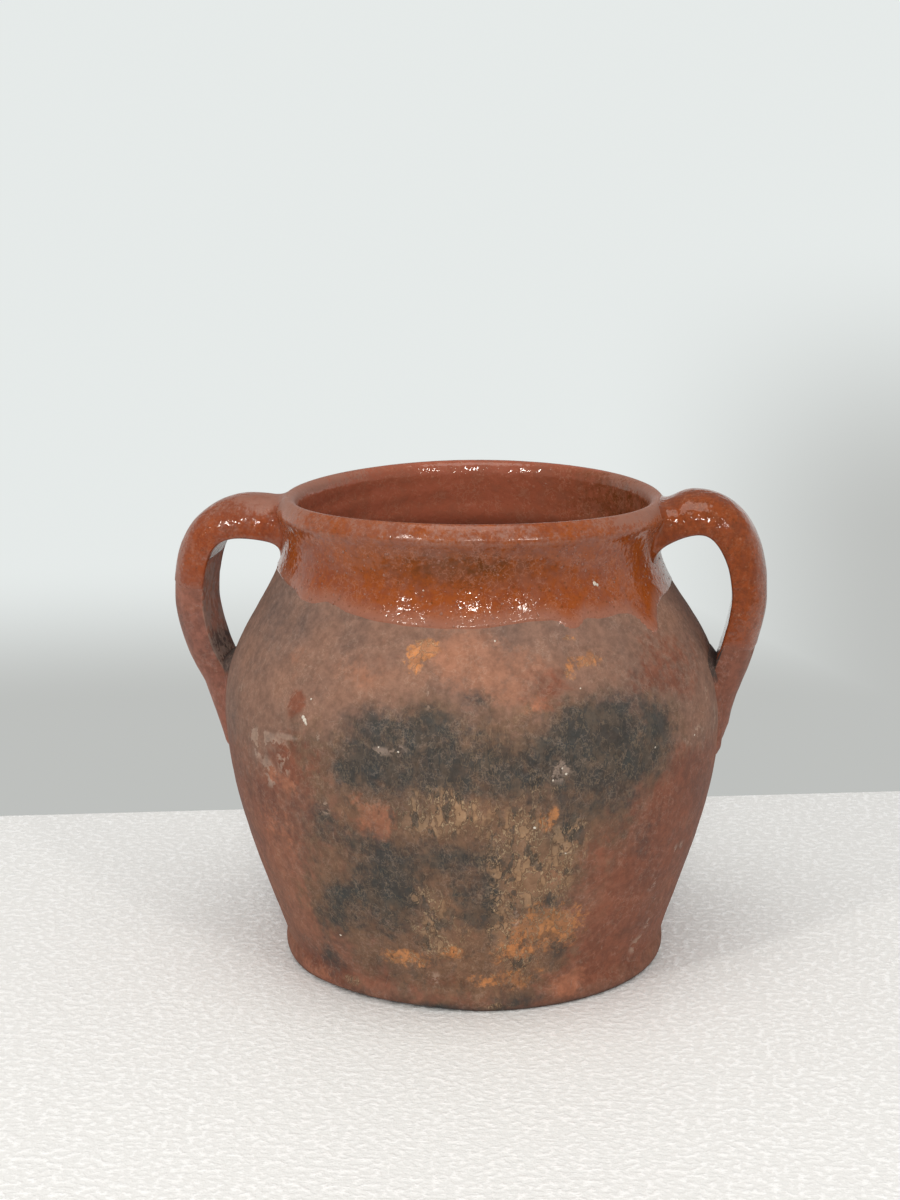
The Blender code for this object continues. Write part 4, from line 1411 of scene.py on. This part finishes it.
dressed = [(body, "pot_clay", "pot_body"), (coat, "neck_glaze", "glaze_coat")]
for name, handle in handles.items():
    bar, upper, glazed, rings = makeHandle(name.capitalize(), handle, bodyTree, coatTree)
    lower = makeTailSlip(name.capitalize(), handle, rings, bodyTree, treeOf(bar))
    handleMasks(bar, glazed, (upper, lower), handle)
    finishes = {bar: "handleClay", upper: "slipClay", lower: "slipClay", glazed: "handleGlaze"}
    for obj, finish in finishes.items():
        obj.data.materials.append(materials[finish])
    dressed += [
        (bar, "handle_clay", "handle_" + name),
        (glazed, "handle_glaze", "handle_glaze_" + name),
        (upper, "slip_clay", "slip_joint_upper_" + name),
        (lower, "slip_clay", "slip_joint_lower_" + name),
    ]
bpy.data.objects.remove(glazeEdge)

setting = makeSettingTree()
popped = lumpsObject("glazePimples", pimpleSpots(), coatTree, setting, pimples["values"])
setMask(popped, "wear", np.full(len(popped.data.vertices), pimples["wear"]))
limeClay = lumpsObject("limeChipsClay", chips["clay"], bodyTree, setting, chips["values"])
limeGlaze = lumpsObject("limeChipsGlaze", chips["glaze"], coatTree, setting, chips["values"])

for obj, slot, node in dressed:
    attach(obj, "root")
    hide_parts(node)
for obj, slot in ((popped, "neck_glaze"), (limeClay, "pot_clay"), (limeGlaze, "neck_glaze")):
    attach(obj, "root")
print("pieces joined to the pot")

stageSet = {
    "board": (0.905, 0.905, 0.895),
    "bead": (0.995, 0.995, 0.99),
    "glow": (0.025, 0.025, 0.025),
    "glint": (0.095, 0.095, 0.095),
    "relief": 0.0011,
    "backEdge": 0.2157,
    "front": -0.43,
    "turn": 12.6,
    "halfWidth": 1.9,
    "thickness": 0.03,
    "gap": 0.0001,  # under the pot
}


def makeBoard():
    board = addObject("board", [], [])
    work = bmesh.new()
    bmesh.ops.create_cube(work, size=1)
    back, front = stageSet["backEdge"], stageSet["front"]
    size = (stageSet["halfWidth"] * 2, back - front, stageSet["thickness"])
    turn = Matrix.Rotation(math.radians(stageSet["turn"]), 3, "Z")
    for vert in work.verts:
        x, y, z = vert.co
        y, z = y * size[1] + (back + front) / 2, (z - 0.5) * size[2] - stageSet["gap"]
        vert.co = turn @ Vector((x * size[0], y, z))
    work.to_mesh(board.data)
    work.free()
    # pressed foam beads
    bench = Finish("boardWhite")
    beads = bench.noise(bench.place, 300.0, 3.0, 0.55)
    bright = bench.ease(beads, 0.50, 0.62)
    colour = bench.mix(bright, stageSet["board"], stageSet["bead"])
    shader = bench.finish(colour, 0.55 - bright * 0.3, beads, stageSet["relief"])
    # they glint for the eye without lighting the pot
    glint = bench.mix(bright, stageSet["glow"], stageSet["glint"])
    bench.feed(shader.inputs["Emission Color"], glint)
    bench.feed(shader.inputs["Emission Strength"], bench.seen())
    board.data.materials.append(bench.material)


# softboxes: compass angle and height above the horizon in degrees, distance, size and watts
lamps = {
    "softboxLeft": (-121.5, 29, 2.2, 0.14, 7.4),
    "softboxMiddle": (-82, 29, 2.2, 0.14, 6.0),
    "softboxRight": (-52, 29, 2.2, 0.14, 4.2),
    "ceiling": (-88, 74, 1.9, 1.3, 13.0),
}
lampTone, lampTarget = (1.0, 0.965, 0.90), Vector((0, 0, 0.15))


def makeLamps():
    for name, (compass, rise, distance, size, watts) in lamps.items():
        data = bpy.data.lights.new(name, "AREA")
        data.size, data.energy, data.color = size, watts, lampTone
        lamp = bpy.data.objects.new(name, data)
        bpy.context.scene.collection.objects.link(lamp)
        turn, up = math.radians(compass), math.radians(rise)
        flat = math.cos(up)
        away = Vector((math.cos(turn) * flat, math.sin(turn) * flat, math.sin(up)))
        lamp.location = lampTarget + away * distance
        lamp.rotation_euler = away.to_track_quat("Z", "Y").to_euler()


# the pairs say where a tone of the wall begins and is full, along one axis of the view
room = {
    "light": 0.515,
    "wall": (0.790, 0.825, 0.815),
    "shadow": (0.515, 0.527, 0.512),
    "dim": (0.26, 0.26, 0.26),
    "high": (0.22, 0.22, 0.22),
    "shadowRight": (-0.08, 0.06),
    "shadowUpTo": (-0.19, -0.06),
    "shadowLow": (-0.26, -0.20),
    "behindPot": (-0.3, 0.5),
    "overhead": (0.12, 0.40),
}


def makeRoom():
    world = bpy.data.worlds.new("room")
    bpy.context.scene.world = world
    world.use_nodes = True
    bench = NodeBench(world.node_tree)
    world.node_tree.nodes.clear()
    # the wall behind the pot is paler than the rest of the room
    x, y, z = bench.split(bench.get("Generated", "ShaderNodeTexCoord"))
    right = bench.ease(x, *room["shadowRight"]) * bench.fall(z, *room["shadowUpTo"])
    shade = bench.calc("MAXIMUM", bench.fall(z, *room["shadowLow"]), right)
    wall = bench.mix(shade, room["wall"], room["shadow"])
    wall = bench.mix(bench.ease(y, *room["behindPot"]), room["dim"], wall)
    wall = bench.mix(bench.ease(z, *room["overhead"]), wall, room["high"])
    plain = {"Color": (1, 1, 1, 1), "Strength": room["light"]}
    light = bench.get(0, "ShaderNodeBackground", plain)
    shown = bench.get(0, "ShaderNodeBackground", {"Color": wall, "Strength": 1.0})
    both = bench.get(0, "ShaderNodeMixShader", {0: bench.seen(), 1: light, 2: shown})
    bench.put("ShaderNodeOutputWorld", {"Surface": both})


camera = {
    "place": (0.1365, -1.0369, 0.4035),
    "turn": 8.088,
    "tip": 77.316,
    "roll": -0.202,
    "lens": 69.0,
    "sensor": 36.0,
}


def makeCamera():
    data = bpy.data.cameras.new("camera")
    data.lens = camera["lens"]
    data.sensor_width = camera["sensor"]
    eye = bpy.data.objects.new("camera", data)
    bpy.context.scene.collection.objects.link(eye)
    spin = Matrix.Identity(4)
    for key, axis in (("turn", "Z"), ("tip", "X"), ("roll", "Z")):
        spin = spin @ Matrix.Rotation(math.radians(camera[key]), 4, axis)
    eye.location = camera["place"]
    eye.rotation_euler = spin.to_euler()
    bpy.context.scene.camera = eye


makeBoard()
makeLamps()
makeRoom()
makeCamera()
bpy.context.scene.view_settings.view_transform = "Standard"
print("board, lamps and camera placed")
